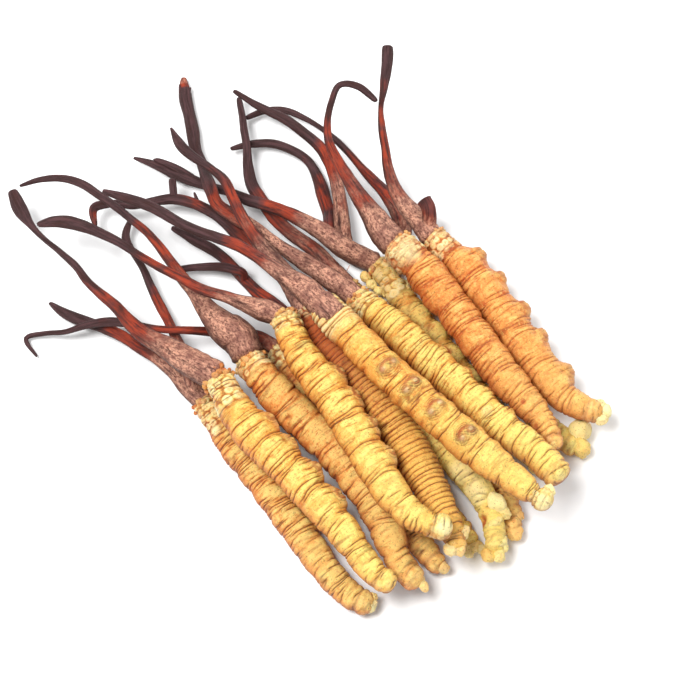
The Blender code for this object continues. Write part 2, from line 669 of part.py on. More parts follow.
def build():
    """Makes the whole bundle."""
    clear_scene()
    collection = bpy.data.collections.new("cordyceps_bundle")
    bpy.context.scene.collection.children.link(collection)
    skins = {name: skin_material("skin_" + name, colour, SKIN_ROUGHNESS)
             for name, colour in SKIN_COLOURS.items()}
    stalk_skin = skin_material("stroma", STROMA_COLOUR, STROMA_ROUGHNESS)
    laid = lay_bundle()
    solids = []
    for cordyceps in BUNDLE:
        name = "larva_" + cordyceps.number
        line, radii = laid[name]
        onward = laid["stroma_" + cordyceps.number][0][1] - line[1]
        solids.append((name, *larva_rings(cordyceps, line, radii, -onward), skins[cordyceps.skin]))
        for stalk in cordyceps.stalks:
            name = "stroma_" + cordyceps.number + stalk.suffix
            line, radii = laid[name]
            start = None if stalk.suffix else onward
            solids.append((name, *stroma_rings(line, radii, start), stalk_skin))
    corners = np.vstack([np.vstack(rings + [end]) for name, rings, end, skin in solids])
    corners[:, 2] = np.maximum(corners[:, 2], 0)
    middle = (corners.min(axis=0) + corners.max(axis=0)) / 2
    shift = np.array([middle[0], middle[1], 0.0])
    for name, rings, end, skin in solids:
        placed = []
        for section in rings:
            section = section - shift
            section[:, 2] = np.maximum(section[:, 2], 0)
            placed.append(section)
        loft(name, placed, end - shift, skin, collection)


if __name__ == "__main__":
    build()
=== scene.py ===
"""The look of a bundle of dried cordyceps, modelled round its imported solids.

Each larva is a tube of skin that follows the centre line and the girth of its own solid,
pushed into segments, folds, prolegs, spots and crumbly ends. Each stroma is a tube of
fibres that follows its own solid from the head to the tip. Sizes are in millimetres
unless a name says otherwise; the meshes are in metres.
"""

import json
import logging
import math
from dataclasses import dataclass, field
from enum import Enum

import bpy
import numpy as np
from mathutils import Matrix

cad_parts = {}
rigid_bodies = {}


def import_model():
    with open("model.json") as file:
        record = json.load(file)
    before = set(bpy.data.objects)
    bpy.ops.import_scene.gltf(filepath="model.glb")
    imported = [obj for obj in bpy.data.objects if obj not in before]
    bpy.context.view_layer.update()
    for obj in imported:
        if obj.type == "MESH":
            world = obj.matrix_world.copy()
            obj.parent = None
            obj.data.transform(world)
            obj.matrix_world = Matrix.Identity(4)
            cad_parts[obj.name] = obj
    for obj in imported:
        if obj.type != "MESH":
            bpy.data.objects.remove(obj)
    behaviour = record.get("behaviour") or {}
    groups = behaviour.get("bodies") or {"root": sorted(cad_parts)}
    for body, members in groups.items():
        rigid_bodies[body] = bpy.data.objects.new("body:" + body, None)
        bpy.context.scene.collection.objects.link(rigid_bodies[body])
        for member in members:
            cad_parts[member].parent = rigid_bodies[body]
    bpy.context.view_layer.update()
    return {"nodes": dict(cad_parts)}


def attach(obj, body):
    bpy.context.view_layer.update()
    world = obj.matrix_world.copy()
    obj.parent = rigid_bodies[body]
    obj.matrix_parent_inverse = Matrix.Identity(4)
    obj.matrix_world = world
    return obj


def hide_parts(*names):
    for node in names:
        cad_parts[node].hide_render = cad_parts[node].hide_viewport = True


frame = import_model()
LOG = logging.getLogger("cordyceps")
MM = 0.001

Pixel = tuple[float, float]
Triple = tuple[float, float, float]
Colour = Triple
Socket = bpy.types.NodeSocket
Value = float | tuple[float, ...] | Socket

# Every larva's and every stroma's random draws start from these.
LARVA_SEED = 500
STROMA_SEED = 900


# ---- the photograph's view ----------------------------------------------------------
@dataclass(frozen=True)
class PhotoView:
    """The camera of the photograph, in its own pixels, and where a point is seen by it.

    It faces the target. The target and the distance are in metres, the angles in degrees."""

    target: Triple = (0.00076979, -0.00639462, 0.0)
    azimuth: float = -40.0
    elevation: float = 67.0
    distance: float = 0.4
    focal_pixels: float = 2400.0
    picture_pixels: int = 700

    def axes(self) -> tuple[np.ndarray, np.ndarray, np.ndarray]:
        """The camera's directions.

        Returns:
            The unit vectors back, right and up.
        """
        azimuth = math.radians(self.azimuth)
        elevation = math.radians(self.elevation)
        flat = math.cos(elevation)
        back = np.array([math.sin(azimuth) * flat, -math.cos(azimuth) * flat, math.sin(elevation)])
        right = np.array([math.cos(azimuth), math.sin(azimuth), 0.0])
        return back, right, np.cross(back, right)

    def place(self) -> np.ndarray:
        """Where the camera stands, in metres."""
        return np.array(self.target) + self.axes()[0] * self.distance

    def pixels(self, points: np.ndarray) -> np.ndarray:
        """Where points are seen.

        Args:
            points: n x 3, in metres.

        Returns:
            n x 2 photo pixels.
        """
        back, right, up = self.axes()
        away = points - self.place()
        depth = -(away @ back)
        half = self.picture_pixels / 2
        across = half + self.focal_pixels * (away @ right) / depth
        down = half - self.focal_pixels * (away @ up) / depth
        return np.column_stack([across, down])

    def at(self, pixel: Pixel, height: float) -> np.ndarray:
        """The point that is seen at a pixel.

        Args:
            pixel: of the photograph.
            height: the point's, in metres.

        Returns:
            The point, in metres.
        """
        back, right, up = self.axes()
        half = self.picture_pixels / 2
        ray = right * (pixel[0] - half) + up * (half - pixel[1]) - back * self.focal_pixels
        return self.place() + ray * (height - self.place()[2]) / ray[2]

    def nearest(self, points: np.ndarray, pixel: Pixel) -> int:
        """The number of the point that is seen nearest to a pixel."""
        return int(np.argmin(np.linalg.norm(self.pixels(points) - np.array(pixel), axis=1)))


VIEW = PhotoView()


# ---- centre lines -------------------------------------------------------------------
def smooth_step(share: np.ndarray) -> np.ndarray:
    """0 to 1 with level ends."""
    share = np.clip(share, 0.0, 1.0)
    return share * share * (3.0 - 2.0 * share)


def bell(away: np.ndarray, width: float | np.ndarray, power: float = 2) -> np.ndarray:
    """1 at no distance, falling off past a width. A higher power makes its top flatter."""
    return np.exp(-((away / width) ** power))


def interpolated(at: float | np.ndarray, reach: np.ndarray, rows: np.ndarray) -> np.ndarray:
    """The row of numbers at a distance, or one row for each of several distances."""
    return np.stack([np.interp(at, reach, column) for column in rows.T], axis=-1)


def corner_places(mesh: bpy.types.Mesh) -> np.ndarray:
    """Where the corners of a mesh are.

    Args:
        mesh: any mesh.

    Returns:
        corners x 3.
    """
    places = np.zeros(len(mesh.vertices) * 3)
    mesh.vertices.foreach_get("co", places)
    return places.reshape(-1, 3)


def lengths_along(points: np.ndarray) -> np.ndarray:
    """The distance from the first point to each point, along the line."""
    steps = np.linalg.norm(np.diff(points, axis=0), axis=1)
    return np.concatenate([[0.0], np.cumsum(steps)])


def smoothed(values: np.ndarray, reach: float) -> np.ndarray:
    """Rows averaged with their neighbours.

    Args:
        values: rows of numbers at even steps.
        reach: spread of the average, in rows.

    Returns:
        The smoothed rows, with both ends carried on straight.
    """
    wide = max(1, int(3 * reach))
    weights = np.exp(-0.5 * (np.arange(-wide, wide + 1) / reach) ** 2)
    weights /= weights.sum()
    values = values if values.ndim == 2 else values[:, None]
    before = 2 * values[0] - values[wide:0:-1]
    after = 2 * values[-1] - values[-2:-wide - 2:-1]
    padded = np.vstack([before, values, after])
    columns = [np.convolve(padded[:, k], weights, mode="valid") for k in range(values.shape[1])]
    return np.squeeze(np.stack(columns, axis=1))


# How many rows a curve has from one of its points to the next.
PER_SPAN = 12


def curve_through(points: np.ndarray) -> np.ndarray:
    """A Catmull-Rom curve.

    Args:
        points: the rows of numbers that it goes through.

    Returns:
        The rows of the curve.
    """
    rows = np.vstack([2 * points[0] - points[1], points, 2 * points[-1] - points[-2]])
    share = np.linspace(0, 1, PER_SPAN, endpoint=False)[:, None]
    made = []
    for p0, p1, p2, p3 in zip(rows, rows[1:], rows[2:], rows[3:]):
        bend = 2 * p0 - 5 * p1 + 4 * p2 - p3
        twist = 3 * p1 - p0 - 3 * p2 + p3
        made.append(0.5 * (2 * p1 + (p2 - p0) * share + bend * share ** 2 + twist * share ** 3))
    return np.vstack(made + [points[-1:]])


@dataclass(frozen=True)
class Spine:
    """A solid's centre line from its base to its tip, with its rings' sizes.

    points are in metres. width is the half size of each ring to the side, and height is
    the middle one of its corners' distances from the centre line, both in millimetres."""

    points: np.ndarray
    width: np.ndarray
    height: np.ndarray

    @classmethod
    def of_node(cls, node: bpy.types.Object) -> "Spine":
        """Reads the rings of a solid.

        Args:
            node: a solid whose rings all have the same number of corners and whose far
                end is one point.

        Returns:
            The spine, ring by ring from the base to the tip.
        """
        corners, near = cls.welded(node)
        levels = cls.levels_from_tip(near)
        rings = [corners[sorted(level)] for level in reversed(levels)]
        centres = np.array([ring.mean(axis=0) for ring in rings])
        side, top = frames_along(centres)
        width = [np.abs((ring - c) @ s).max() / MM for ring, c, s in zip(rings, centres, side)]
        height = [np.median(np.linalg.norm(ring - c, axis=1)) / MM for ring, c in zip(rings, centres)]
        return cls(centres, np.array(width), np.array(height))

    @staticmethod
    def welded(node: bpy.types.Object) -> tuple[np.ndarray, list[set[int]]]:
        """The solid's corners, where those at one place are made one.

        Args:
            node: the solid.

        Returns:
            Where the corners are, and the numbers of each one's neighbours.
        """
        mesh = node.data
        mesh.calc_loop_triangles()
        faces = np.zeros(len(mesh.loop_triangles) * 3, int)
        mesh.loop_triangles.foreach_get("vertices", faces)
        corners, merged = np.unique(np.round(corner_places(mesh), 7), axis=0, return_inverse=True)
        near: list[set[int]] = [set() for _ in corners]
        for a, b, c in merged.reshape(-1)[faces].reshape(-1, 3):
            near[a] |= {b, c}
            near[b] |= {a, c}
            near[c] |= {a, b}
        return corners, near

    @staticmethod
    def levels_from_tip(near: list[set[int]]) -> list[set[int]]:
        """The rings, found by walking out from the tip: the only corner from which every
        step reaches the same number of new corners.

        Args:
            near: the numbers of each corner's neighbours.

        Returns:
            The corners of each ring, from the tip to the base.
        """
        for tip in range(len(near)):
            seen = {tip}
            levels = [{tip}]
            while True:
                reached = set().union(*(near[k] for k in levels[-1])) - seen
                if not reached or (len(levels) > 1 and len(reached) != len(levels[1])):
                    break
                seen |= reached
                levels.append(reached)
            if len(seen) == len(near):
                return levels
        raise ValueError("this solid has no rings")


def frames_along(line: np.ndarray) -> tuple[np.ndarray, np.ndarray]:
    """The directions across a line. The side stays level.

    Args:
        line: rows x 3.

    Returns:
        The side and the top direction at each row.
    """
    tangent = np.gradient(line, axis=0)
    tangent /= np.linalg.norm(tangent, axis=1)[:, None]
    side = np.cross(np.array([0.0, 0.0, 1.0]), tangent)
    side /= np.linalg.norm(side, axis=1)[:, None]
    return side, np.cross(tangent, side)


# The share of a quarter turn that a dome has, and the power that makes it blunter than
# a round one.
DOME_TURN = 0.97
DOME_BLUNTNESS = 0.8


def round_end(length: float, dome: float, rows: int) -> tuple[np.ndarray, np.ndarray]:
    """The last rows of a tube, over which it closes in a dome.

    Args:
        length: of the tube.
        dome: the height of the dome, in millimetres too.
        rows: how many it has.

    Returns:
        Each row's distance along the tube, and the share of the girth that is left there.
    """
    turned = np.linspace(0.0, math.pi / 2 * DOME_TURN, rows)
    return length - dome * (1 - np.sin(turned)), np.cos(turned) ** DOME_BLUNTNESS


def rings_round(line: np.ndarray, side: np.ndarray, top: np.ndarray, across: np.ndarray,
                upward: np.ndarray) -> np.ndarray:
    """The corners of a tube.

    Args:
        line: its centre line, rows x 3 in metres.
        side: the side direction at each row.
        top: the top direction at each row.
        across: how far each corner is to the side, rows x columns in millimetres.
        upward: how far it is to the top.

    Returns:
        rows x columns x 3, in metres.
    """
    out = across[..., None] * side[:, None, :] + upward[..., None] * top[:, None, :]
    return line[:, None, :] + MM * out


# ---- unrolled skin ------------------------------------------------------------------
# Brings noise that is blended from values of -1 to 1 back to about -1 to 1.
NOISE_GAIN = 1.7
# The cells that a lattice has past its last row, for the blend to reach into.
SPARE_CELLS = 4


def spline_weights(places: np.ndarray, cells: int, wrap: bool) -> np.ndarray:
    """How much each of a lattice's values counts at each place, for a smooth blend.

    Args:
        places: in cells from the start of the lattice.
        cells: how many it has.
        wrap: whether its end joins its start.

    Returns:
        places x cells.
    """
    base = np.floor(places).astype(int)
    part = places - base
    shares = ((1 - part) ** 3, 3 * part ** 3 - 6 * part ** 2 + 4,
              -3 * part ** 3 + 3 * part ** 2 + 3 * part + 1, part ** 3)
    weights = np.zeros((len(places), cells))
    for offset, share in zip((-1, 0, 1, 2), shares):
        index = (base + offset) % cells if wrap else np.clip(base + offset, 0, cells - 1)
        np.add.at(weights, (np.arange(len(places)), index), share / 6)
    return weights


class Skin:
    """The unrolled surface of one tube: rows along it and columns round it. Every field
    over it is an array of rows x columns."""

    def __init__(self, along: np.ndarray, columns: int, seed: int) -> None:
        """Lays out the rows and the columns.

        Args:
            along: each row's distance from the base, in millimetres.
            columns: how many there are.
            seed: of the random draws over this skin.
        """
        self.along = along
        self.turn = np.arange(columns) / columns
        self.angle = self.turn * 2 * math.pi
        self.rng = np.random.default_rng(seed)

    def lobe_shares(self, lobes: int) -> np.ndarray:
        """How much each of the patches round the tube counts at each column."""
        return spline_weights(self.turn * lobes, lobes, True).T

    def blended(self, rows: np.ndarray, cells: int, lobes: int) -> np.ndarray:
        """Random values for each patch round the tube, blended along rows of cells."""
        lattice = self.rng.uniform(-1, 1, (cells, lobes))
        return spline_weights(rows, cells, False) @ lattice

    def noise(self, step: float, lobes: int, twist: float = 0.0) -> np.ndarray:
        """Smooth noise of about -1 to 1.

        Args:
            step: size of its patches along the tube, in millimetres.
            lobes: how many patches go round it.
            twist: turns that the pattern makes for each millimetre along.

        Returns:
            The field.
        """
        rows = (self.along - self.along[0]) / step
        across = self.blended(rows, int(rows.max()) + SPARE_CELLS, lobes)
        if not twist:
            return NOISE_GAIN * across @ self.lobe_shares(lobes)
        turned = ((self.turn[None, :] + twist * self.along[:, None]) * lobes).ravel()
        weights = spline_weights(turned, lobes, True).reshape(len(rows), -1, lobes)
        return NOISE_GAIN * np.einsum("rl,rcl->rc", across, weights)

    def patches(self, level: float, gain: float, step: float, lobes: int) -> np.ndarray:
        """Noise of a gain about a level, held between 0 and 1."""
        return np.clip(level + gain * self.noise(step, lobes), 0, 1)

    def ragged(self, coarse: float, fine: float) -> np.ndarray:
        """What distances are multiplied by to give an uneven outline."""
        return 1 + coarse * self.noise(0.8, 13) + fine * self.noise(0.4, 25)

    def underside(self) -> np.ndarray:
        """How far each column is turned down, from 0 on top to 1 underneath."""
        return 0.5 - 0.5 * np.cos(self.angle)

    def off(self, angle: float) -> np.ndarray:
        """How far each column is from an angle in degrees, in radians either way."""
        return (self.angle - math.radians(angle) + math.pi) % (2 * math.pi) - math.pi

    def wavering(self, places: np.ndarray, wander: float, coherence: float = 3.0,
                 lobes: int = 5) -> np.ndarray:
        """Lines round the tube that wander along it.

        Args:
            places: each line's distance from the base.
            wander: how far a line strays from its place.
            coherence: how many lines stray together.
            lobes: how often a line bends on its way round.

        Returns:
            Each line's place at each column: lines x columns.
        """
        cells = int(len(places) / coherence) + SPARE_CELLS
        across = self.blended(np.arange(len(places)) / coherence, cells, lobes)
        return places[:, None] + wander * NOISE_GAIN * across @ self.lobe_shares(lobes)

    def between(self, lines: np.ndarray,
                narrowest: float = 0.05) -> tuple[np.ndarray, np.ndarray, np.ndarray]:
        """Which lines each point lies between.

        Args:
            lines: lines x columns, in order along the tube.
            narrowest: the least that two lines are taken to be apart.

        Returns:
            The number of the line behind each point, the share of the way to the next
            one, and how far apart the two are.
        """
        lines = np.maximum.accumulate(lines, axis=0)
        count = np.arange(len(lines), dtype=float)
        phase = np.stack([np.interp(self.along, line, count) for line in lines.T], axis=1)
        index = np.clip(phase.astype(int), 0, len(lines) - 2)
        width = np.take_along_axis(lines[1:] - lines[:-1], index, axis=0)
        return index, phase - index, np.maximum(width, narrowest)

    def patchy(self, lines: int, lobes: int) -> np.ndarray:
        """How strong each of several lines is at each column, about -1 to 1."""
        lattice = self.rng.uniform(-1, 1, (lines, lobes))
        return NOISE_GAIN * lattice @ self.lobe_shares(lobes)

    def away(self, place: float, angle: float, radius: float) -> np.ndarray:
        """How far each point is from one place on the tube, in millimetres."""
        return np.hypot((self.along - place)[:, None], (self.off(angle) * radius)[None, :])

    def cobbles(self, low: float, high: float, size: float, radius: float) -> tuple[np.ndarray, np.ndarray]:
        """Rounded crumbs packed in rows over part of the tube.

        Args:
            low: where they start along the tube.
            high: where they end.
            size: how wide a crumb is.
            radius: of the tube there.

        Returns:
            How high each point stands, 0 to 1, and how near it is to a crumb's middle.
        """
        domes = np.zeros((len(self.along), len(self.turn)))
        middles = np.zeros_like(domes)
        count = max(int(2 * math.pi * radius / size), 3)
        ragged = self.ragged(0.20, 0.14)
        for row in range(max(round((high - low) / size), 1)):
            for k in range(count):
                place = low + (row + 0.5 + self.rng.uniform(-0.20, 0.20)) * size
                angle = (k + 0.5 * (row % 2) + self.rng.uniform(-0.22, 0.22)) * 360 / count
                reach = size * self.rng.uniform(0.50, 0.72)
                tall = self.rng.uniform(0.55, 1.0)
                near = np.abs(self.along - place) < reach
                away = np.hypot((self.along[near] - place)[:, None], (self.off(angle) * radius)[None, :])
                away = away * ragged[near]
                dome = tall * np.clip(1 - (away / reach) ** 2.2, 0, 1) ** 0.5
                domes[near] = np.maximum(domes[near], dome)
                pit = self.rng.uniform(0.0, 0.5) * reach
                middles[near] = np.maximum(middles[near], 0.8 * bell(away - pit, 0.25 * reach))
        return domes, middles


# ---- meshes -------------------------------------------------------------------------
def deselect_all() -> None:
    """Leaves nothing selected and nothing in edit mode."""
    if bpy.context.object and bpy.context.object.mode != "OBJECT":
        bpy.ops.object.mode_set(mode="OBJECT")
    bpy.ops.object.select_all(action="DESELECT")


def select_upright_edges(mesh: bpy.types.Mesh) -> None:
    """Selects the edges that run along an upright tube, by their direction.

    Args:
        mesh: the tube's.
    """
    ends = np.zeros(len(mesh.edges) * 2, int)
    mesh.edges.foreach_get("vertices", ends)
    way = np.diff(corner_places(mesh)[ends.reshape(-1, 2)], axis=1)[:, 0]
    steepness = 10
    upright = np.abs(way[:, 2]) > steepness * np.hypot(way[:, 0], way[:, 1])
    mesh.vertices.foreach_set("select", np.zeros(len(mesh.vertices), bool))
    mesh.polygons.foreach_set("select", np.zeros(len(mesh.polygons), bool))
    mesh.edges.foreach_set("select", upright)


class Tube:
    """A closed upright tube that is cut into rows, then bent to its final form."""

    def __init__(self, name: str, rows: int, columns: int) -> None:
        """Adds the tube, one unit tall and wide.

        Args:
            name: the piece's.
            rows: how many rings it has.
            columns: how many sides it has.
        """
        deselect_all()
        bpy.ops.mesh.primitive_cylinder_add(vertices=columns, radius=1.0, depth=1.0, end_fill_type="TRIFAN")
        self.piece = bpy.context.object
        self.piece.name = self.piece.data.name = name
        self.rows = rows
        self.columns = columns
        bpy.context.scene.tool_settings.mesh_select_mode = (False, True, False)
        for cuts in self.cuts(rows - 1):
            select_upright_edges(self.piece.data)
            bpy.ops.object.mode_set(mode="EDIT")
            bpy.ops.mesh.subdivide(number_cuts=cuts)
            bpy.ops.object.mode_set(mode="OBJECT")

    @staticmethod
    def cuts(spans: int) -> tuple[int, ...]:
        """The rounds of cuts that give a tube its rows.

        Args:
            spans: how many it is to have between its rows.

        Returns:
            How often each span is cut, in each round.
        """
        for first in range(int(math.sqrt(spans)), 0, -1):
            if spans % first == 0:
                return tuple(k - 1 for k in (first, spans // first) if k > 1)
        return ()

    def bend(self, rings: np.ndarray, fields: dict[str, np.ndarray]) -> bpy.types.Object:
        """Moves every corner to its final place.

        Args:
            rings: rows x columns x 3, in metres.
            fields: named arrays of rows x columns (x 3 for a vector) to keep on the mesh.

        Returns:
            The finished piece.
        """
        mesh = self.piece.data
        places = corner_places(mesh)
        row = np.round((places[:, 2] + 0.5) * (self.rows - 1)).astype(int)
        turn = np.arctan2(places[:, 0], places[:, 1]) / (2 * math.pi)
        column = np.round(turn * self.columns).astype(int) % self.columns
        middle = np.hypot(places[:, 0], places[:, 1]) < 0.5
        moved = rings[row, column]
        moved[middle] = rings.mean(axis=1)[row[middle]]
        mesh.vertices.foreach_set("co", moved.ravel())
        for name, values in fields.items():
            kind, key = ("FLOAT_VECTOR", "vector") if values.ndim == 3 else ("FLOAT", "value")
            kept = mesh.attributes.new(name, kind, "POINT")
            kept.data.foreach_set(key, values[row, column].ravel().astype(np.float32))
        mesh.update()
        deselect_all()
        self.piece.select_set(True)
        bpy.context.view_layer.objects.active = self.piece
        bpy.ops.object.mode_set(mode="EDIT")
        bpy.ops.mesh.select_all(action="SELECT")
        bpy.ops.mesh.normals_make_consistent(inside=False)
        bpy.ops.object.mode_set(mode="OBJECT")
        bpy.ops.object.shade_smooth()
        return self.piece


# ---- finishes -----------------------------------------------------------------------
class Recipe:
    """Adds and joins the nodes of one material."""

    def __init__(self, name: str) -> None:
        """Starts the material.

        Args:
            name: the material's.
        """
        self.material = bpy.data.materials.new(name)
        self.material.use_nodes = True
        self.tree = self.material.node_tree
        self.shader = self.tree.nodes["Principled BSDF"]

    def node(self, kind: str, settings: dict[str, object] | None = None, **inputs: Value) -> bpy.types.Node:
        """Adds a node.

        Args:
            kind: its type.
            settings: its own properties.
            inputs: what each socket is fed, by the socket's name with _ for a space, or by
                _ and its number.

        Returns:
            The node.
        """
        made = self.tree.nodes.new("ShaderNode" + kind)
        for name, value in (settings or {}).items():
            setattr(made, name, value)
        for name, value in inputs.items():
            key = int(name[1:]) if name[1:].isdigit() else name.replace("_", " ")
            self.feed(made.inputs[key], value)
        return made

    def feed(self, socket: Socket, value: Value) -> None:
        """Joins a socket to another, or sets it.

        Args:
            socket: what is fed.
            value: another socket, a number or a tuple. A colour becomes opaque.
        """
        if isinstance(value, Socket):
            self.tree.links.new(value, socket)
        elif isinstance(value, tuple) and socket.type == "RGBA":
            socket.default_value = (*value, 1.0)
        else:
            socket.default_value = value

    def field(self, name: str, vector: bool = False) -> Socket:
        """One of the piece's own fields."""
        return self.node("Attribute", {"attribute_name": name}).outputs["Vector" if vector else "Fac"]

    def noise(self, where: Socket, scale: float, detail: float = 2.0, roughness: float = 0.5) -> Socket:
        """Noise over the piece, 0 to 1."""
        made = self.node("TexNoise", Vector=where, Scale=scale, Detail=detail, Roughness=roughness)
        return made.outputs["Fac"]

    def stretched(self, where: Socket, scale: Triple) -> Socket:
        """The place, stretched along its axes."""
        return self.node("Mapping", Vector=where, Scale=scale).outputs["Vector"]

    def ranged(self, value: Socket, low: float, high: float, bottom: float = 0.0, top: float = 1.0) -> Socket:
        """A value between low and high, carried to bottom and top and held there."""
        settings = {"interpolation_type": "SMOOTHSTEP"}
        return self.node("MapRange", settings, Value=value, _1=low, _2=high, _3=bottom, _4=top).outputs[0]

    def product(self, first: Value, second: Value) -> Socket:
        """Two values multiplied, held between 0 and 1."""
        return self.node("Math", {"operation": "MULTIPLY", "use_clamp": True}, _0=first, _1=second).outputs[0]

    def added(self, value: Socket, factor: float, rest: Socket) -> Socket:
        """A value times a factor, added to the rest."""
        return self.node("Math", {"operation": "MULTIPLY_ADD"}, _0=value, _1=factor, _2=rest).outputs[0]

    def blend(self, share: Value, first: Value, second: Value) -> Socket:
        """Two colours mixed, by the share of the second one."""
        settings = {"data_type": "RGBA", "blend_type": "MIX", "clamp_factor": True}
        return self.node("Mix", settings, _0=share, _6=first, _7=second).outputs[2]

    def layer(self, colour: Value, over: Value, value: Socket, low: float, high: float,
              most: float = 1.0) -> Socket:
        """A colour with another over it, from none at low to a share of most at high."""
        return self.blend(self.ranged(value, low, high, 0.0, most), colour, over)

    def bump(self, height: Socket, depth: float, under: Socket | None = None) -> Socket:
        """Adds relief.

        Args:
            height: 0 to 1 over the piece.
            depth: of the relief, in millimetres.
            under: another relief, which this one lies on.

        Returns:
            The relief of both.
        """
        made = self.node("Bump", Height=height, Distance=depth * MM, Strength=1.0)
        if under is not None:
            self.feed(made.inputs["Normal"], under)
        return made.outputs["Normal"]

    def surface(self, colour: Socket, roughness: Socket, relief: Socket, specular: float) -> None:
        """Feeds the shader.

        Args:
            colour: over the piece.
            roughness: over the piece.
            relief: over the piece.
            specular: the same all over it.
        """
        self.feed(self.shader.inputs["Base Color"], colour)
        self.feed(self.shader.inputs["Roughness"], roughness)
        self.feed(self.shader.inputs["Normal"], relief)
        self.feed(self.shader.inputs["Specular IOR Level"], specular)


@dataclass(frozen=True)
class LarvaFinish:
    """Dry, waxy, wrinkled skin: painted lighter as a highlight where it stands out, painted deeper as shade
    in its creases and underneath, specked.
    """

    name: str
    bright: Colour
    light: Colour
    deep: Colour
    crease: Colour
    pale: Colour = (0.98, 0.87, 0.45)
    spot: Colour = (0.48, 0.080, 0.015)
    speck: Colour = (0.22, 0.13, 0.02)
    shade: Colour = (0.24, 0.050, 0.009)
    red_head: float = 0.12

    def material(self) -> bpy.types.Material:
        """Builds the material.

        Returns:
            The material, which reads the fields place, rise, under, crease, pale and spot.
        """
        r = Recipe(self.name)
        place = r.field("place", vector=True)
        along = r.node("SeparateXYZ", Vector=place).outputs["X"]
        under = r.field("under")
        mottle = r.noise(place, 0.55, 5.0, 0.65)
        rings = r.noise(r.stretched(place, (3.2, 0.7, 0.7)), 1.0, 4.0, 0.7)
        fine = r.noise(place, 1.9, 4.0, 0.8)
        # The mottled skin, painted lighter as a highlight where it stands out and painted darker as shade in
        # its hollows and underneath.
        tone = r.added(under, -0.75, r.added(r.field("rise"), 0.72, mottle))
        colour = r.layer(self.deep, self.light, tone, 0.36, 0.74)
        colour = r.layer(colour, self.bright, tone, 0.72, 1.04)
        # Fine rings and grain.
        colour = r.layer(colour, self.deep, rings, 0.48, 0.32, 0.75)
        colour = r.layer(colour, self.bright, fine, 0.52, 0.64, 0.7)
        colour = r.layer(colour, self.deep, fine, 0.47, 0.36, 0.6)
        # Redder towards the head, brighter towards the tail, and shaded underneath.
        colour = r.layer(colour, self.bright, along, 16.0, 44.0, 0.42)
        colour = r.layer(colour, self.deep, along, 30.0, 4.0, self.red_head)
        colour = r.layer(colour, self.deep, under, 0.05, 0.42, 0.60)
        colour = r.layer(colour, self.shade, under, 0.25, 0.75, 0.75)
        # Pale wax, red stains, specks and dark creases.
        wax = r.ranged(r.noise(place, 1.3, 3.0), 0.30, 0.58, 0.78, 1.0)
        colour = r.blend(r.product(r.field("pale"), wax), colour, self.pale)
        colour = r.blend(r.product(r.field("spot"), 0.9), colour, self.spot)
        colour = r.layer(colour, self.speck, r.noise(place, 3.3, 1.5), 0.63, 0.69, 0.55)
        colour = r.blend(r.product(r.field("crease"), 0.95), colour, self.crease)
        roughness = r.ranged(r.noise(place, 2.0), 0.3, 0.7, 0.36, 0.60)
        r.surface(colour, roughness, r.bump(rings, 0.28, r.bump(fine, 0.24)), 0.45)
        r.shader.inputs["Subsurface Weight"].default_value = 0.12
        r.shader.inputs["Subsurface Radius"].default_value = (1.0, 0.40, 0.12)
        r.shader.inputs["Subsurface Scale"].default_value = 0.6 * MM
        return r.material


@dataclass(frozen=True)
class StromaFinish:
    """Dry fibrous stalk: pinkish and grainy at the base, red in the middle, dark at the tip."""

    name: str
    base: Colour = (0.20, 0.074, 0.055)
    base_light: Colour = (0.70, 0.355, 0.235)
    middle: Colour = (0.095, 0.013, 0.009)
    middle_light: Colour = (0.350, 0.045, 0.017)
    tip: Colour = (0.030, 0.012, 0.012)
    tip_light: Colour = (0.092, 0.040, 0.042)
    dark: Colour = (0.045, 0.013, 0.010)

    def material(self) -> bpy.types.Material:
        """Builds the material.

        Returns:
            The material, which reads the fields place, tone, under and crease.
        """
        r = Recipe(self.name)
        place = r.field("place", vector=True)
        fibre = r.noise(r.stretched(place, (0.20, 2.4, 2.4)), 1.0, 4.0, 0.7)
        grain = r.noise(r.stretched(place, (0.8, 1.7, 1.7)), 1.6, 5.0, 0.75)
        tone = r.added(r.noise(place, 0.35, 3.0), 0.9, r.field("tone"))
        # The grainy base, the red middle and the dark tip, and how they follow each other.
        low = r.layer(self.base, self.base_light, grain, 0.38, 0.60)
        low = r.layer(low, self.base, r.noise(place, 0.5, 3.0), 0.52, 0.34, 0.7)
        middle = r.layer(self.middle, self.middle_light, fibre, 0.36, 0.60)
        high = r.layer(self.tip, self.tip_light, fibre, 0.36, 0.66)
        colour = r.layer(low, middle, tone, 0.75, 1.35)
        colour = r.layer(colour, high, tone, 1.60, 2.15)
        # Dark patches, fibres, shade, specks and creases.
        patches = r.ranged(r.noise(place, 0.26, 2.0), 0.47, 0.62, 0.0, 0.8)
        colour = r.blend(r.product(patches, r.ranged(tone, 0.9, 1.4)), colour, high)
        colour = r.layer(colour, self.dark, fibre, 0.46, 0.30, 0.85)
        colour = r.layer(colour, self.dark, r.field("under"), 0.08, 0.50, 0.72)
        specks = r.ranged(r.noise(place, 3.2, 2.0), 0.58, 0.66, 0.0, 0.7)
        colour = r.blend(r.product(specks, r.ranged(tone, 1.3, 0.7)), colour, self.dark)
        colour = r.blend(r.field("crease"), colour, self.dark)
        roughness = r.ranged(fibre, 0.3, 0.7, 0.42, 0.66)
        r.surface(colour, roughness, r.bump(grain, 0.18, r.bump(fibre, 0.34)), 0.22)
        return r.material


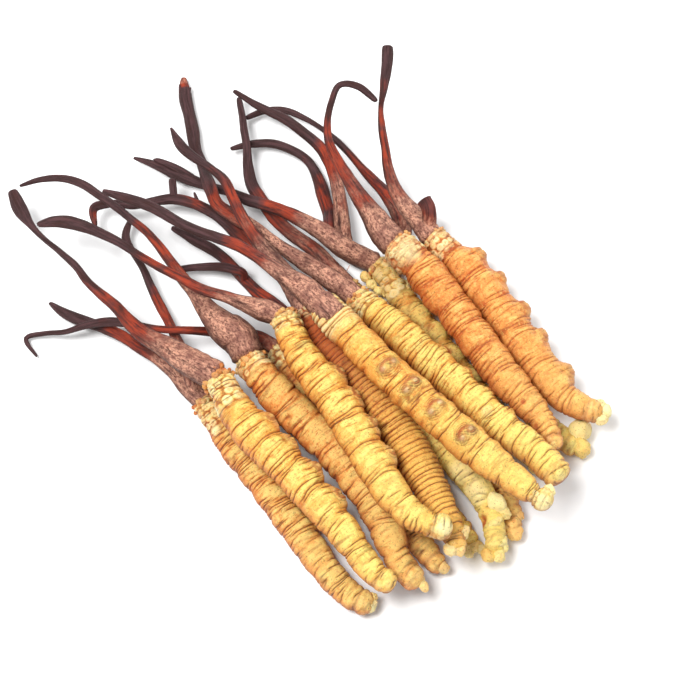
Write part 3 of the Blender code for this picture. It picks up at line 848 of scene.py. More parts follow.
class Finish(Enum):
    """The finishes of the bundle, by the record's material slot."""

    GOLDEN = LarvaFinish("skin_golden", (0.93, 0.65, 0.19), (0.87, 0.40, 0.085), (0.62, 0.15, 0.023),
                         (0.060, 0.013, 0.003))
    YELLOW = LarvaFinish("skin_yellow", (0.97, 0.74, 0.19), (0.91, 0.47, 0.082), (0.68, 0.19, 0.024),
                         (0.060, 0.015, 0.003))
    ORANGE = LarvaFinish("skin_orange", (0.93, 0.60, 0.17), (0.86, 0.34, 0.070), (0.58, 0.120, 0.018),
                         (0.070, 0.013, 0.003))
    BROWN = LarvaFinish("skin_brown", (0.97, 0.56, 0.12), (0.92, 0.36, 0.060), (0.46, 0.080, 0.013),
                        (0.05, 0.008, 0.002), red_head=0.95)
    STROMA = StromaFinish("stroma")

    def slot(self) -> str:
        """The record's material slot."""
        return self.value.name

    def material(self) -> bpy.types.Material:
        """The material, which is built when it is first asked for.

        Returns:
            The material, which all pieces of this finish share.
        """
        kept = bpy.data.materials.get("dressed_" + self.slot())
        if kept is None:
            kept = self.value.material()
            kept.name = "dressed_" + self.slot()
        return kept


def join(piece: bpy.types.Object, others: list[bpy.types.Object]) -> None:
    """Joins small parts to the piece that they grow from.

    Args:
        piece: what they are joined to.
        others: the small parts, which may be none.
    """
    if not others:
        return
    deselect_all()
    for part in (*others, piece):
        part.select_set(True)
    bpy.context.view_layer.objects.active = piece
    bpy.ops.object.join()


def hand_over(piece: bpy.types.Object, node: str, finish: Finish) -> None:
    """Gives a finished piece its material and its place in the frame.

    Args:
        piece: a larva's skin or a stroma's stalk.
        node: the solid that it replaces.
        finish: what it is made of.
    """
    piece.data.materials.clear()
    piece.data.materials.append(finish.material())
    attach(piece, "root")
    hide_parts(node)
    LOG.info("%s: %d faces", piece.name, len(piece.data.polygons))


# ---- larvae -------------------------------------------------------------------------
# What a point is compared with to see how far it stands out: this many rows either way,
# and the height in millimetres that makes the whole difference.
RISE_REACH = 9.0
RISE_SPAN = 0.34


@dataclass
class Relief:
    """How one skin departs from a smooth tube, as fields over it: how far it stands out
    in millimetres, and how much of a dark crease, pale wax or red stain it has."""

    height: np.ndarray
    crease: np.ndarray
    pale: np.ndarray
    spot: np.ndarray

    @classmethod
    def smooth(cls, skin: Skin) -> "Relief":
        """No relief at all."""
        return cls(*(np.zeros((len(skin.along), len(skin.turn))) for _ in range(4)))

    def stain(self, name: str, amount: np.ndarray) -> None:
        """Adds to one of the three colour fields, where it is more than it had."""
        setattr(self, name, np.maximum(getattr(self, name), amount))

    def rise(self) -> np.ndarray:
        """How far each point stands out of its surroundings, 0 to 1."""
        return np.clip(0.5 + (self.height - smoothed(self.height, RISE_REACH)) / RISE_SPAN, 0, 1)


@dataclass(frozen=True)
class Mark:
    """One lump or pit that the photograph shows: its photo pixel, its radius and height in
    millimetres, and how pale and how red it is."""

    pixel: Pixel
    size: float
    height: float = 0.35
    pale: float = 0.9
    spot: float = 0.0

    def press(self, skin: Skin, relief: Relief, row: int, column: int, radius: float) -> None:
        """Raises or sinks the skin round one of its points.

        Args:
            skin: the unrolled skin.
            relief: what the mark is added to.
            row: the point's.
            column: the point's.
            radius: of the tube there, in millimetres.
        """
        away = skin.away(skin.along[row], math.degrees(skin.angle[column]), radius) / self.size
        away = away * skin.ragged(0.16, 0.10)
        relief.height += self.height * bell(np.abs(away), 1.0, 3)
        rim = bell(away - 1.12, 0.16)
        if self.height > 0:
            relief.height -= 0.10 * rim
            relief.stain("crease", 0.55 * rim * (0.5 + 0.5 * skin.noise(0.8, 12)))
        relief.stain("pale", self.pale * bell(away, 0.9, 4))
        relief.stain("spot", self.spot * bell(away, 0.8, 4))


class Folds(Enum):
    """Where folds cross a segment, as shares of its length, and how deep each one is."""

    GROUPED = ((0.0, 1.1), (0.10, 0.9), (0.20, 0.75), (0.34, 0.4), (0.50, 0.5), (0.66, 0.4), (0.78, 0.65),
               (0.89, 0.9))
    BELLY_UP = ((0.0, 1.0), (0.09, 0.7), (0.80, 0.35), (0.90, 0.8))
    RIBBED = ((0.0, 1.4), (0.17, 1.2), (0.34, 1.3), (0.51, 1.2), (0.68, 1.3), (0.85, 1.2))
    CLOSE = ((0.0, 1.2), (0.13, 1.0), (0.26, 1.0), (0.40, 0.7), (0.56, 0.6), (0.72, 0.9), (0.87, 1.0))
    SMOOTH = ((0.0, 1.0), (0.14, 0.6), (0.45, 0.25), (0.82, 0.6))


def give_stains_and_painted_light(part: bpy.types.Object, along: float, rise: float, pale: float, spot: float) -> None:
    """Gives a small part of a larva its fields, each the same all over but its place: its stains, and the
    levels of its painted highlight and painted shade.

    Args:
        part: in its final place.
        along: the distance from the head that its grain is taken from, in millimetres.
        rise: how far it is taken to stand out, 0 to 1, which sets its painted highlight.
        pale: how much pale wax it has.
        spot: how much red stain it has.
    """
    mesh = part.data
    places = corner_places(mesh).astype(np.float32)
    # rise sets the part's painted highlight and under a little painted shade, next to its real stains.
    stains_and_painted_light = {"rise": rise, "under": 0.1, "crease": 0.0, "pale": pale, "spot": spot}
    for name, amount in stains_and_painted_light.items():
        kept = mesh.attributes.new(name, "FLOAT", "POINT")
        kept.data.foreach_set("value", np.full(len(places), amount, np.float32))
    places = places / MM
    places += np.array([along, 0.0, 0.0]) - places.mean(axis=0) * np.array([1.0, 0.0, 0.0])
    mesh.attributes.new("place", "FLOAT_VECTOR", "POINT").data.foreach_set("vector", places.ravel())


# The swells of a lobe: how often each one comes, and how deep it is in shares of the radius.
LOBE_SWELLS = ((2.0, 0.08), (2.5, 0.08), (4.0, 0.05), (6.0, 0.035), (6.0, 0.035), (11.0, 0.015))
# How high the middles of lobes and crumbs stay over the floor, in their own radii.
LOBE_CLEARANCE = 1.12
CRUMB_CLEARANCE = 1.3


@dataclass(frozen=True)
class Bulb:
    """A rounded lobe of a tail or a head: its middle's photo pixel, its radius in
    millimetres, how pale and how red it is, and how far it lies below the centre line."""

    pixel: Pixel
    size: float
    pale: float = 0.4
    spot: float = 0.0
    drop: float = 0.0

    def build(self, line: np.ndarray, along: float) -> bpy.types.Object:
        """Models the lobe.

        Args:
            line: the larva's centre line.
            along: the distance from the head that its grain is taken from, in
                millimetres.

        Returns:
            The lobe, to join to the larva.
        """
        on_line = line[VIEW.nearest(line, self.pixel), 2] - self.drop * MM
        height = max(on_line, LOBE_CLEARANCE * self.size * MM)
        deselect_all()
        bpy.ops.mesh.primitive_ico_sphere_add(subdivisions=4, radius=1.0)
        lobe = bpy.context.object
        ways = corner_places(lobe.data)
        rng = np.random.default_rng(int(self.pixel[0] + 31 * self.pixel[1]))
        swell = np.ones(len(ways))
        for often, deep in LOBE_SWELLS:
            swell += deep * np.cos(often * ways @ rng.normal(size=3) + rng.uniform(0, 6))
        swell = swell[:, None] * rng.uniform(0.84, 1.12, 3)
        placed = VIEW.at(self.pixel, height) + ways * swell * self.size * MM
        placed[:, 2] = np.maximum(placed[:, 2], 0.0)
        lobe.data.vertices.foreach_set("co", placed.ravel())
        bpy.ops.object.shade_smooth()
        give_stains_and_painted_light(lobe, along, 0.6, self.pale, self.spot)
        return lobe


@dataclass(frozen=True)
class Crumbs:
    """Loose crumbs on the seam between a head and its stroma. Sizes are in millimetres.

    low and high say how far from the seam they lie, lift how high their middles stand over
    the skin in shares of their size, and grain_from where their grain is taken from."""

    count: int = 18
    low: float = -1.0
    high: float = 0.6
    smallest: float = 0.18
    largest: float = 0.42
    red: float = 0.7
    lift: float = 0.3
    grain_from: float = 12.0

    def model(self) -> bpy.types.Object:
        """Models the one crumb that is copied.

        Returns:
            The crumb, with a radius of one metre.
        """
        deselect_all()
        bpy.ops.mesh.primitive_ico_sphere_add(subdivisions=2, radius=1.0)
        crumb = bpy.context.object
        bpy.ops.object.mode_set(mode="EDIT")
        bpy.ops.mesh.select_all(action="SELECT")
        bpy.ops.transform.vertex_random(offset=0.16, seed=4)
        bpy.ops.object.mode_set(mode="OBJECT")
        return crumb

    def scatter(self, skin: Skin, line: np.ndarray, out: np.ndarray,
                radius: np.ndarray) -> list[bpy.types.Object]:
        """Copies the crumb round the seam.

        Args:
            skin: the larva's unrolled skin.
            line: its centre line.
            out: which way each point of the skin faces.
            radius: how far each point is from the centre line, in millimetres.

        Returns:
            The copies, to join to the larva.
        """
        first = self.model()
        copies = []
        for k in range(self.count):
            place = skin.rng.uniform(self.low, self.high)
            row = int(np.argmin(np.abs(skin.along - place)))
            column = int(skin.rng.integers(len(skin.turn)))
            size = skin.rng.uniform(self.smallest, self.largest)
            centre = line[row] + out[row, column] * (radius[row, column] + self.lift * size) * MM
            centre[2] = max(centre[2], CRUMB_CLEARANCE * size * MM)
            copy = first.copy()
            copy.data = first.data.copy()
            bpy.context.scene.collection.objects.link(copy)
            shape = np.diag([size * skin.rng.uniform(0.8, 1.2), size, size * skin.rng.uniform(0.7, 1.1)]) * MM
            copy.data.transform(Matrix(np.vstack([np.column_stack([shape, centre]), [0, 0, 0, 1]])))
            pale = skin.rng.uniform(0, 0.7)
            give_stains_and_painted_light(copy, self.grain_from, 0.7, pale, skin.rng.uniform(0.45 * self.red, self.red))
            copies.append(copy)
        bpy.data.objects.remove(first, do_unlink=True)
        return copies


@dataclass
class Larva:
    """One larva's skin. Distances are in millimetres and angles in degrees from straight
    up, clockwise seen from the tail.

    crests are photo pixels on the segments whose middles can be seen; the others follow
    at the same pitch. Without crests the segments divide the ringed share of the length.
    base_ring and last_ring are the shares of the girth that the solid's end rings have.
    The solid's line and girth are taken at even samples, and smoothed over a spread of a
    few of them."""

    number: str
    finish: Finish
    belly: float = 180.0
    segments: int = 9
    ringed_share: float = 0.965
    base_ring: float = 0.9
    last_ring: float = 0.72
    crests: tuple[Pixel, ...] = ()
    marks: tuple[Mark, ...] = ()
    bulbs: tuple[Bulb, ...] = ()
    proleg_segments: tuple[int, ...] = (3, 4, 5, 6)
    proleg: float = 0.45
    proleg_size: float = 1.15
    spread: float = 36.0
    lower_proleg: float = 0.3
    pad: float = 0.0
    shoulder: float = 0.0
    folds: Folds = Folds.GROUPED
    segment_depth: float = 0.16
    fold_depth: float = 0.17
    fold_wander: float = 0.40
    evenness: float = 0.25
    lump: float = 0.17
    wrinkle: float = 0.08
    head_reach: float = 3.0
    tail_reach: float = 3.0
    crumb: float = 1.15
    shade: float = 1.0
    head_crumb: float = 1.0
    tail_crumb: float = 0.22
    bands: float = 0.0
    tip_pale: float = 0.0
    warmth: float = 0.0
    lighter: float = 0.0
    belly_light: float = 0.0
    ink: float = 1.0
    crumb_height: float = 0.36
    neck: float = 0.22
    rows: int = 421
    columns: int = 76
    head_rows: int = 9
    tail_rows: int = 16
    lip: float = 0.8
    lip_girth: float = 0.45
    dome: float = 1.7
    thinnest: float = 0.03
    line_samples: int = 240
    line_spread: float = 4.0
    girth_samples: int = 300
    girth_spread: float = 9.0
    crumbs: Crumbs = Crumbs()

    def stations(self, length: float) -> tuple[np.ndarray, np.ndarray]:
        """The rows of the tube.

        Args:
            length: of the larva.

        Returns:
            Each row's distance from the head's joint, and the share of the girth that the
            rounded ends leave there.
        """
        turned = np.linspace(0, math.pi / 2, self.head_rows)
        head = -self.lip + self.lip * 1.6 * (1 - np.cos(turned))
        head_share = self.lip_girth + (1 - self.lip_girth) * np.sin(turned)
        tail, tail_share = round_end(length, self.dome, self.tail_rows)
        middle = np.linspace(head[-1], tail[0], self.rows - len(head) - len(tail) + 2)[1:-1]
        share = np.concatenate([head_share, np.ones(len(middle)), tail_share])
        return np.concatenate([head, middle, tail]), share

    def crest_stations(self, along: np.ndarray, line: np.ndarray, length: float) -> np.ndarray:
        """Where the middle of every segment is.

        Args:
            along: each row's distance from the head's joint.
            line: the centre line at each row.
            length: of the larva.

        Returns:
            The distances from the head's joint, in order.
        """
        pitch = length * self.ringed_share / self.segments
        if not self.crests:
            return (np.arange(self.segments) + 0.5) * pitch
        marked = np.array(sorted(along[VIEW.nearest(line, pixel)] for pixel in self.crests))
        if len(marked) > 1:
            pitch = (marked[-1] - marked[0]) / (len(marked) - 1)
        before = marked[0] - pitch * np.arange(int(marked[0] / pitch), 0, -1)
        after = marked[-1] + pitch * np.arange(1, int((length - marked[-1]) / pitch) + 1)
        return np.concatenate([before, marked, after])

    def build(self) -> bpy.types.Object:
        """Models the larva.

        Returns:
            The finished piece.
        """
        node = "larva_" + self.number
        spine = Spine.of_node(frame["nodes"][node])
        length = lengths_along(spine.points)[-1] / MM
        along, dome = self.stations(length)
        line, girth = self.course(spine, along)
        skin = Skin(along, self.columns, LARVA_SEED + int(self.number))
        relief = self.relief(skin, self.crest_stations(along, line, length), girth, length)
        side, top = frames_along(line)
        out = np.sin(skin.angle)[None, :, None] * side[:, None, :]
        out = out + np.cos(skin.angle)[None, :, None] * top[:, None, :]
        bare = line[:, None, :] + MM * girth[:, None, None] * out
        self.press_marks(skin, relief, bare, out, girth)
        radius = np.maximum((girth[:, None] + relief.height) * dome[:, None], self.thinnest)
        rings = line[:, None, :] + MM * radius[..., None] * out
        rings[..., 2] = np.maximum(rings[..., 2], 0.0)
        tube = Tube(node + "_skin", self.rows, self.columns)
        piece = tube.bend(rings, self.fields(skin, relief, radius))
        small_parts = self.crumbs.scatter(skin, line, out, radius)
        small_parts += [bulb.build(line, length) for bulb in self.bulbs]
        join(piece, small_parts)
        hand_over(piece, node, self.finish)
        return piece

    def fields(self, skin: Skin, relief: Relief, radius: np.ndarray) -> dict[str, np.ndarray]:
        """What the material reads.

        Args:
            skin: the unrolled skin.
            relief: all that stands out of it.
            radius: how far each point is from the centre line.

        Returns:
            The fields, by name.
        """
        across = radius * np.sin(skin.angle)
        upward = radius * np.cos(skin.angle)
        belly = self.belly_light * bell(skin.off(self.belly), 0.9, 4)
        # rise sets the painted highlight on raised skin and the painted shade in its hollows, and lighter and
        # belly_light raise or lower it over the whole larva and round its belly; under, scaled by shade, sets
        # the painted shade underneath.
        return {
            "place": np.stack([np.broadcast_to(skin.along[:, None], across.shape), across, upward], axis=2),
            "rise": relief.rise() + self.lighter + belly,
            "under": np.broadcast_to(self.shade * skin.underside(), across.shape),
            "crease": self.ink * np.clip(relief.crease, 0, 1),
            "pale": np.clip(relief.pale, 0, 1),
            "spot": np.clip(relief.spot, 0, 1),
        }

    def course(self, spine: Spine, along: np.ndarray) -> tuple[np.ndarray, np.ndarray]:
        """The centre line and the girth at each row.

        Args:
            spine: the solid's own.
            along: each row's distance from the head's joint.

        Returns:
            rows x 3 in metres, and the radius in millimetres.
        """
        curve = curve_through(spine.points)
        even = np.linspace(0, lengths_along(curve)[-1], self.line_samples)
        curve = smoothed(interpolated(even, lengths_along(curve), curve), self.line_spread)
        line = interpolated(along, even / MM, curve)
        ahead = (curve[0] - curve[3]) / np.linalg.norm(curve[0] - curve[3])
        line += np.maximum(-along, 0)[:, None] * MM * ahead
        # The solid has two full rings to a segment, and one in the groove between two segments.
        rings = np.arange(len(spine.height))
        flat = (rings > 0) & (rings < len(rings) - 2) & ((rings - 1) % 3 != 2)
        where = lengths_along(spine.points) / MM
        places = np.concatenate([[0.0], where[flat], [where[-2]]])
        ends = spine.height[0] / self.base_ring, spine.height[-2] / self.last_ring
        sizes = np.concatenate([[ends[0]], spine.height[flat], [ends[1]]])
        girth = np.interp(along, places, sizes)
        spaced = np.linspace(along[0], along[-1], self.girth_samples)
        girth = np.interp(along, spaced, smoothed(np.interp(spaced, along, girth), self.girth_spread))
        return line, girth

    def relief(self, skin: Skin, crests: np.ndarray, girth: np.ndarray, length: float) -> Relief:
        """What stands out of the round tube, apart from the marks.

        Args:
            skin: the unrolled skin.
            crests: the middle of every segment.
            girth: the radius at each row.
            length: of the larva.

        Returns:
            The relief.
        """
        borders = np.concatenate([[-1.0], (crests[1:] + crests[:-1]) / 2, [length + 1.0]])
        relief = Relief.smooth(skin)
        if self.warmth:
            relief.stain("spot", self.warmth * np.clip(0.8 + 0.6 * skin.noise(2.4, 6), 0.2, 1.4))
        self.add_segments(skin, relief, borders)
        self.add_folds(skin, relief, borders)
        self.add_wrinkles(skin, relief)
        relief.height += self.lump * (0.65 * skin.noise(2.9, 6) + 0.4 * skin.noise(1.3, 11))
        relief.height += 0.03 * skin.noise(0.42, 30)
        self.add_flanks(skin, relief, crests, girth)
        for k, crest in enumerate(crests):
            if k in self.proleg_segments:
                radius = np.interp(crest, skin.along, girth)
                self.add_shoulder(skin, relief, crest, radius, borders[2] - borders[1])
                self.add_prolegs(skin, relief, crest, radius)
        self.add_ends(skin, relief, girth, length)
        return relief

    def add_segments(self, skin: Skin, relief: Relief, borders: np.ndarray) -> None:
        """Swells each segment between its borders.

        Args:
            skin: the unrolled skin.
            relief: what they are added to.
            borders: where the segments meet.
        """
        part = skin.between(skin.wavering(borders, 0.35, 1.5))[1]
        swell = 1 - np.abs(2 * part - 1) ** 2.6
        relief.height += self.segment_depth * (swell - 0.72) * (1 + 0.35 * skin.noise(5.0, 4))

    def add_folds(self, skin: Skin, relief: Relief, borders: np.ndarray) -> None:
        """Cuts the folds that cross each segment. They fade in and out on their way round.

        Args:
            skin: the unrolled skin.
            relief: what they are cut into.
            borders: where the segments meet.
        """
        places = []
        depths = []
        for low, high in zip(borders, borders[1:]):
            for share, depth in self.folds.value:
                jitter = skin.rng.uniform(-0.03, 0.03) if share else 0.0
                places.append(low + (high - low) * (share + jitter))
                depths.append(depth)
        places = np.array(places + [borders[-1]])
        depths = np.array(depths + [1.0])[:, None]
        lines = skin.wavering(places, self.fold_wander, 2.5, 6)
        lines = lines + skin.wavering(np.zeros(len(places)), 0.17, 1.0, 11)
        lines = lines + skin.wavering(np.zeros(len(places)), 0.05, 1.0, 27)
        strength = 0.85 * depths + (1 - self.evenness) * 1.25 * skin.patchy(len(places), 9) - 0.18
        strength = np.clip(strength, 0.0, 1.15)
        index, part, width = skin.between(lines)
        columns = np.arange(len(skin.turn))[None, :]
        for behind in (True, False):
            own = strength[index if behind else index + 1, columns]
            gap = (part if behind else 1 - part) * width
            broad = np.minimum(0.42 if behind else 0.24, 0.38 * width)
            relief.height -= self.fold_depth * own * bell(gap, broad)
            relief.height -= 0.10 * own * bell(gap, 0.09)
            relief.stain("crease", np.clip(1.15 * own - 0.2, 0, 1) * bell(gap, 0.078))

    def add_wrinkles(self, skin: Skin, relief: Relief) -> None:
        """Scores short fine wrinkles between the folds, in patches.

        Args:
            skin: the unrolled skin.
            relief: what they are cut into.
        """
        across = skin.patches(0.55, 0.7, 2.6, 6)
        fine = bell(skin.noise(0.50, 6), 0.15) * across
        relief.height -= self.wrinkle * fine
        relief.stain("crease", 0.6 * fine * skin.patches(0.45, 1.0, 1.4, 8))
        slant = bell(skin.noise(1.5, 24), 0.12) * skin.patches(0.2, 0.8, 3.5, 6)
        relief.height -= 0.7 * self.wrinkle * slant

    def add_flanks(self, skin: Skin, relief: Relief, crests: np.ndarray, girth: np.ndarray) -> None:
        """Raises the lumps along both flanks, two to a segment.

        Args:
            skin: the unrolled skin.
            relief: what they are added to.
            crests: the middle of every segment.
            girth: the radius at each row.
        """
        for crest in crests:
            radius = np.interp(crest, skin.along, girth)
            for sign in (-1, 1):
                for step in (-1.1, 1.0):
                    place = crest + step + skin.rng.uniform(-0.3, 0.3)
                    away = skin.away(place, self.belly + sign * skin.rng.uniform(72, 92), radius)
                    relief.height += skin.rng.uniform(0.10, 0.32) * bell(away, 1.05, 2.6)

    def add_shoulder(self, skin: Skin, relief: Relief, crest: float, radius: float, pitch: float) -> None:
        """Swells one segment where its prolegs are, flat topped, up to a notch on each side.

        Args:
            skin: the unrolled skin.
            relief: what it is added to.
            crest: the middle of the segment.
            radius: of the tube there.
            pitch: the length of a segment.
        """
        along = bell(np.abs(skin.along - crest), 0.43 * pitch, 6)[:, None]
        around = bell(np.abs(skin.off(self.belly) * radius), 2.2, 4)[None, :]
        relief.height += self.shoulder * along * around * (1 + 0.3 * skin.noise(1.2, 9))
        relief.stain("pale", 0.6 * self.shoulder * along * around)

    def add_prolegs(self, skin: Skin, relief: Relief, crest: float, radius: float) -> None:
        """Raises the two prolegs of one segment, each a blunt cone with a ringed crown.

        Args:
            skin: the unrolled skin.
            relief: what they are added to.
            crest: the middle of the segment.
            radius: of the tube there.
        """
        for sign, height in ((-1, self.proleg), (1, min(self.proleg, self.lower_proleg))):
            place = crest + skin.rng.uniform(-0.15, 0.15)
            away = skin.away(place, self.belly + sign * self.spread, radius) / self.proleg_size
            ragged = 0.6 + 0.5 * skin.noise(0.7, 14)
            relief.height += height * bell(away, 0.95, 4) + 0.10 * bell(away, 0.24)
            for ring, depth in ((0.42, 0.09), (0.72, 0.07), (1.05, 0.08)):
                groove = bell(away - ring, 0.075)
                relief.height -= depth * groove
                relief.stain("crease", (0.85 if self.pad else 0.55) * groove * ragged)
            relief.stain("spot", bell(away - 0.60, 0.26, 4) * np.clip(ragged, 0.35, 0.85))
            relief.stain("pale", self.tip_pale * bell(away, 0.42, 4))
        if self.pad:
            self.add_pad(skin, relief, crest, radius)

    def add_pad(self, skin: Skin, relief: Relief, crest: float, radius: float) -> None:
        """Rings the two prolegs of a segment with oval grooves, redder towards the head.

        Args:
            skin: the unrolled skin.
            relief: what they are cut into.
            crest: the middle of the segment.
            radius: of the tube there.
        """
        across = skin.off(self.belly) * radius * 0.92
        away = np.hypot(1.2 * (skin.along - crest)[:, None], across[None, :]) / self.pad
        away = away + 0.10 * skin.noise(1.4, 9)
        ragged = skin.patches(0.6, 0.6, 0.9, 12)
        ahead = smooth_step(0.75 - 0.5 * (skin.along - crest) / self.pad)[:, None]
        for ring in (0.78, 1.0, 1.2):
            groove = bell(away - ring, 0.05) * ragged
            relief.height -= 0.09 * groove
            relief.stain("crease", 0.6 * groove)
        relief.height += 0.12 * bell(away, 0.9, 6)
        relief.stain("spot", bell(away - 0.66, 0.28) * (0.72 + 0.28 * ragged) * ahead)

    def add_ends(self, skin: Skin, relief: Relief, girth: np.ndarray, length: float) -> None:
        """Packs crumbs over the head and the tail, and draws in the tail's neck.

        Args:
            skin: the unrolled skin.
            relief: what they are added to.
            girth: the radius at each row.
            length: of the larva.
        """
        head_girth = girth[self.head_rows + 3]
        tail_girth = girth[-self.tail_rows - 4]
        ends = ((-0.5, self.head_reach, head_girth, self.head_crumb),
                (length - self.tail_reach, length - 0.3, tail_girth, self.tail_crumb))
        for low, high, radius, share in ends:
            domes, middles = skin.cobbles(low, high, self.crumb, max(radius, 1.0))
            inside = smooth_step((skin.along - low) / 0.8 + 0.5)
            inside = inside * smooth_step((high - skin.along) / 1.2 + 0.5)
            inside = share * np.clip(inside[:, None] * (1.0 + 0.5 * skin.noise(1.6, 6)), 0, 1)
            relief.height += inside * (self.crumb_height * (domes - 0.40) - 0.07 * middles)
            rows = max(round((high - low) / self.crumb), 1)
            edges = skin.wavering(low + np.arange(rows + 1) * (high - low) / rows, 0.22, 1.0, 7)
            seam = bell(np.abs(skin.along[:, None, None] - edges[None]).min(axis=1), 0.09)
            relief.height -= inside * 0.14 * seam
            relief.stain("crease", inside * seam * skin.patches(0.55, 0.8, 1.1, 9))
            relief.stain("pale", inside * smooth_step(domes * 1.6 - 0.35) * (1 - 0.75 * middles))
            relief.stain("crease", inside * 0.45 * smooth_step(1 - domes * 4.0))
            relief.stain("spot", inside * 0.32 * np.maximum(smooth_step(1 - domes * 2.0), 0.9 * middles))
        if self.bands:
            self.add_bands(skin, relief)
        neck = bell(skin.along - (length - self.tail_reach + 0.4), 0.45)
        relief.height -= self.neck * neck[:, None] * (1 + 0.4 * skin.noise(2.0, 5))
        relief.stain("crease", 0.6 * neck[:, None] ** 6 * (0.6 + 0.6 * skin.noise(2.0, 6)))

    def add_bands(self, skin: Skin, relief: Relief) -> None:
        """Wraps the head in narrow pale bands, one behind the other.

        Args:
            skin: the unrolled skin.
            relief: what they are added to.
        """
        lines = skin.wavering(np.arange(-0.6, self.bands, 0.9), 0.40, 1.2, 7)
        gap = np.abs(skin.along[:, None, None] - lines[None]).min(axis=1)
        share = smooth_step((self.bands - skin.along) / 0.8)[:, None]
        open_band = 1 - bell(gap, 0.20)
        relief.height += share * (0.18 * open_band - 0.06)
        relief.stain("crease", share * bell(gap, 0.08) * skin.patches(0.6, 0.7, 1.1, 9))
        relief.stain("pale", 0.85 * share * open_band * np.clip(0.8 + 0.6 * skin.noise(1.0, 10), 0.2, 1))

    def press_marks(self, skin: Skin, relief: Relief, bare: np.ndarray, out: np.ndarray,
                    girth: np.ndarray) -> None:
        """Presses each mark where the photograph shows it.

        Args:
            skin: the unrolled skin.
            relief: what the marks are added to.
            bare: the smooth tube, rows x columns x 3.
            out: which way each of its points faces.
            girth: the radius at each row.
        """
        seen = VIEW.pixels(bare.reshape(-1, 3)).reshape(*bare.shape[:2], 2)
        faces_view = out @ VIEW.axes()[0] >= 0.05
        for mark in self.marks:
            apart = np.linalg.norm(seen - np.array(mark.pixel), axis=2)
            apart = np.where(faces_view, apart, np.inf)
            row, column = np.unravel_index(np.argmin(apart), apart.shape)
            mark.press(skin, relief, row, column, girth[row])


# ---- stromata -----------------------------------------------------------------------
Tones = tuple[tuple[float, float], ...]


def stalk_fields(skin: Skin, across: np.ndarray, upward: np.ndarray, tone: np.ndarray, crease: np.ndarray,
                 start: float = 0.0) -> dict[str, np.ndarray]:
    """What the stalks' material reads.

    Args:
        skin: the unrolled surface.
        across: how far each point is to the side, in millimetres.
        upward: how far it is to the top.
        tone: 0 for the base's colour, 1 for the middle's and 2 for the tip's.
        crease: how much of a dark crease it has.
        start: what is added to the distance along, so that spurs differ in grain.

    Returns:
        The fields, by name.
    """
    along = np.broadcast_to((skin.along + start)[:, None], across.shape)
    return {
        "crease": crease,
        "under": np.broadcast_to(skin.underside(), across.shape),
        "tone": tone,
        "place": np.stack([along, across, upward], axis=2),
    }


@dataclass(frozen=True)
class Spur:
    """A prong, flap or hair on a stalk, from one photo pixel to another. Its half width
    and how far its tip is above its foot are in millimetres."""

    foot: Pixel
    tip: Pixel
    width: float
    lift: float = 0.0
    tone: float = 2.0
    taper: float = 0.7
    rows: int = 13
    columns: int = 12

    def build(self, name: str, line: np.ndarray) -> bpy.types.Object:
        """Models the spur.

        Args:
            name: the piece's.
            line: the stalk's centre line.

        Returns:
            A piece to join to the stalk.
        """
        height = line[VIEW.nearest(line, self.foot), 2]
        foot = VIEW.at(self.foot, height)
        tip = VIEW.at(self.tip, height + self.lift * MM)
        share = np.linspace(0, 1, self.rows)
        course = foot + (tip - foot) * share[:, None]
        course[:, 2] += 0.12 * np.linalg.norm(tip - foot) * np.sin(math.pi * share)
        rounded = np.sqrt(np.clip(1 - ((share - 0.86) / 0.141).clip(0) ** 2, 0, 1))
        radius = self.width * (1 - self.taper * share) * rounded
        along = share * np.linalg.norm(tip - foot) / MM
        skin = Skin(along, self.columns, int(self.foot[0] * 7 + self.foot[1]))
        radius = np.maximum(radius[:, None] * (1 + 0.10 * skin.noise(1.5, 4)), 0.01)
        side, top = frames_along(course)
        across = radius * np.sin(skin.angle)
        upward = 0.6 * radius * np.cos(skin.angle)
        tone = np.full(across.shape, self.tone)
        fields = stalk_fields(skin, across, upward, tone, np.zeros(across.shape), self.foot[0])
        rings = rings_round(course, side, top, across, upward)
        return Tube(name, self.rows, self.columns).bend(rings, fields)


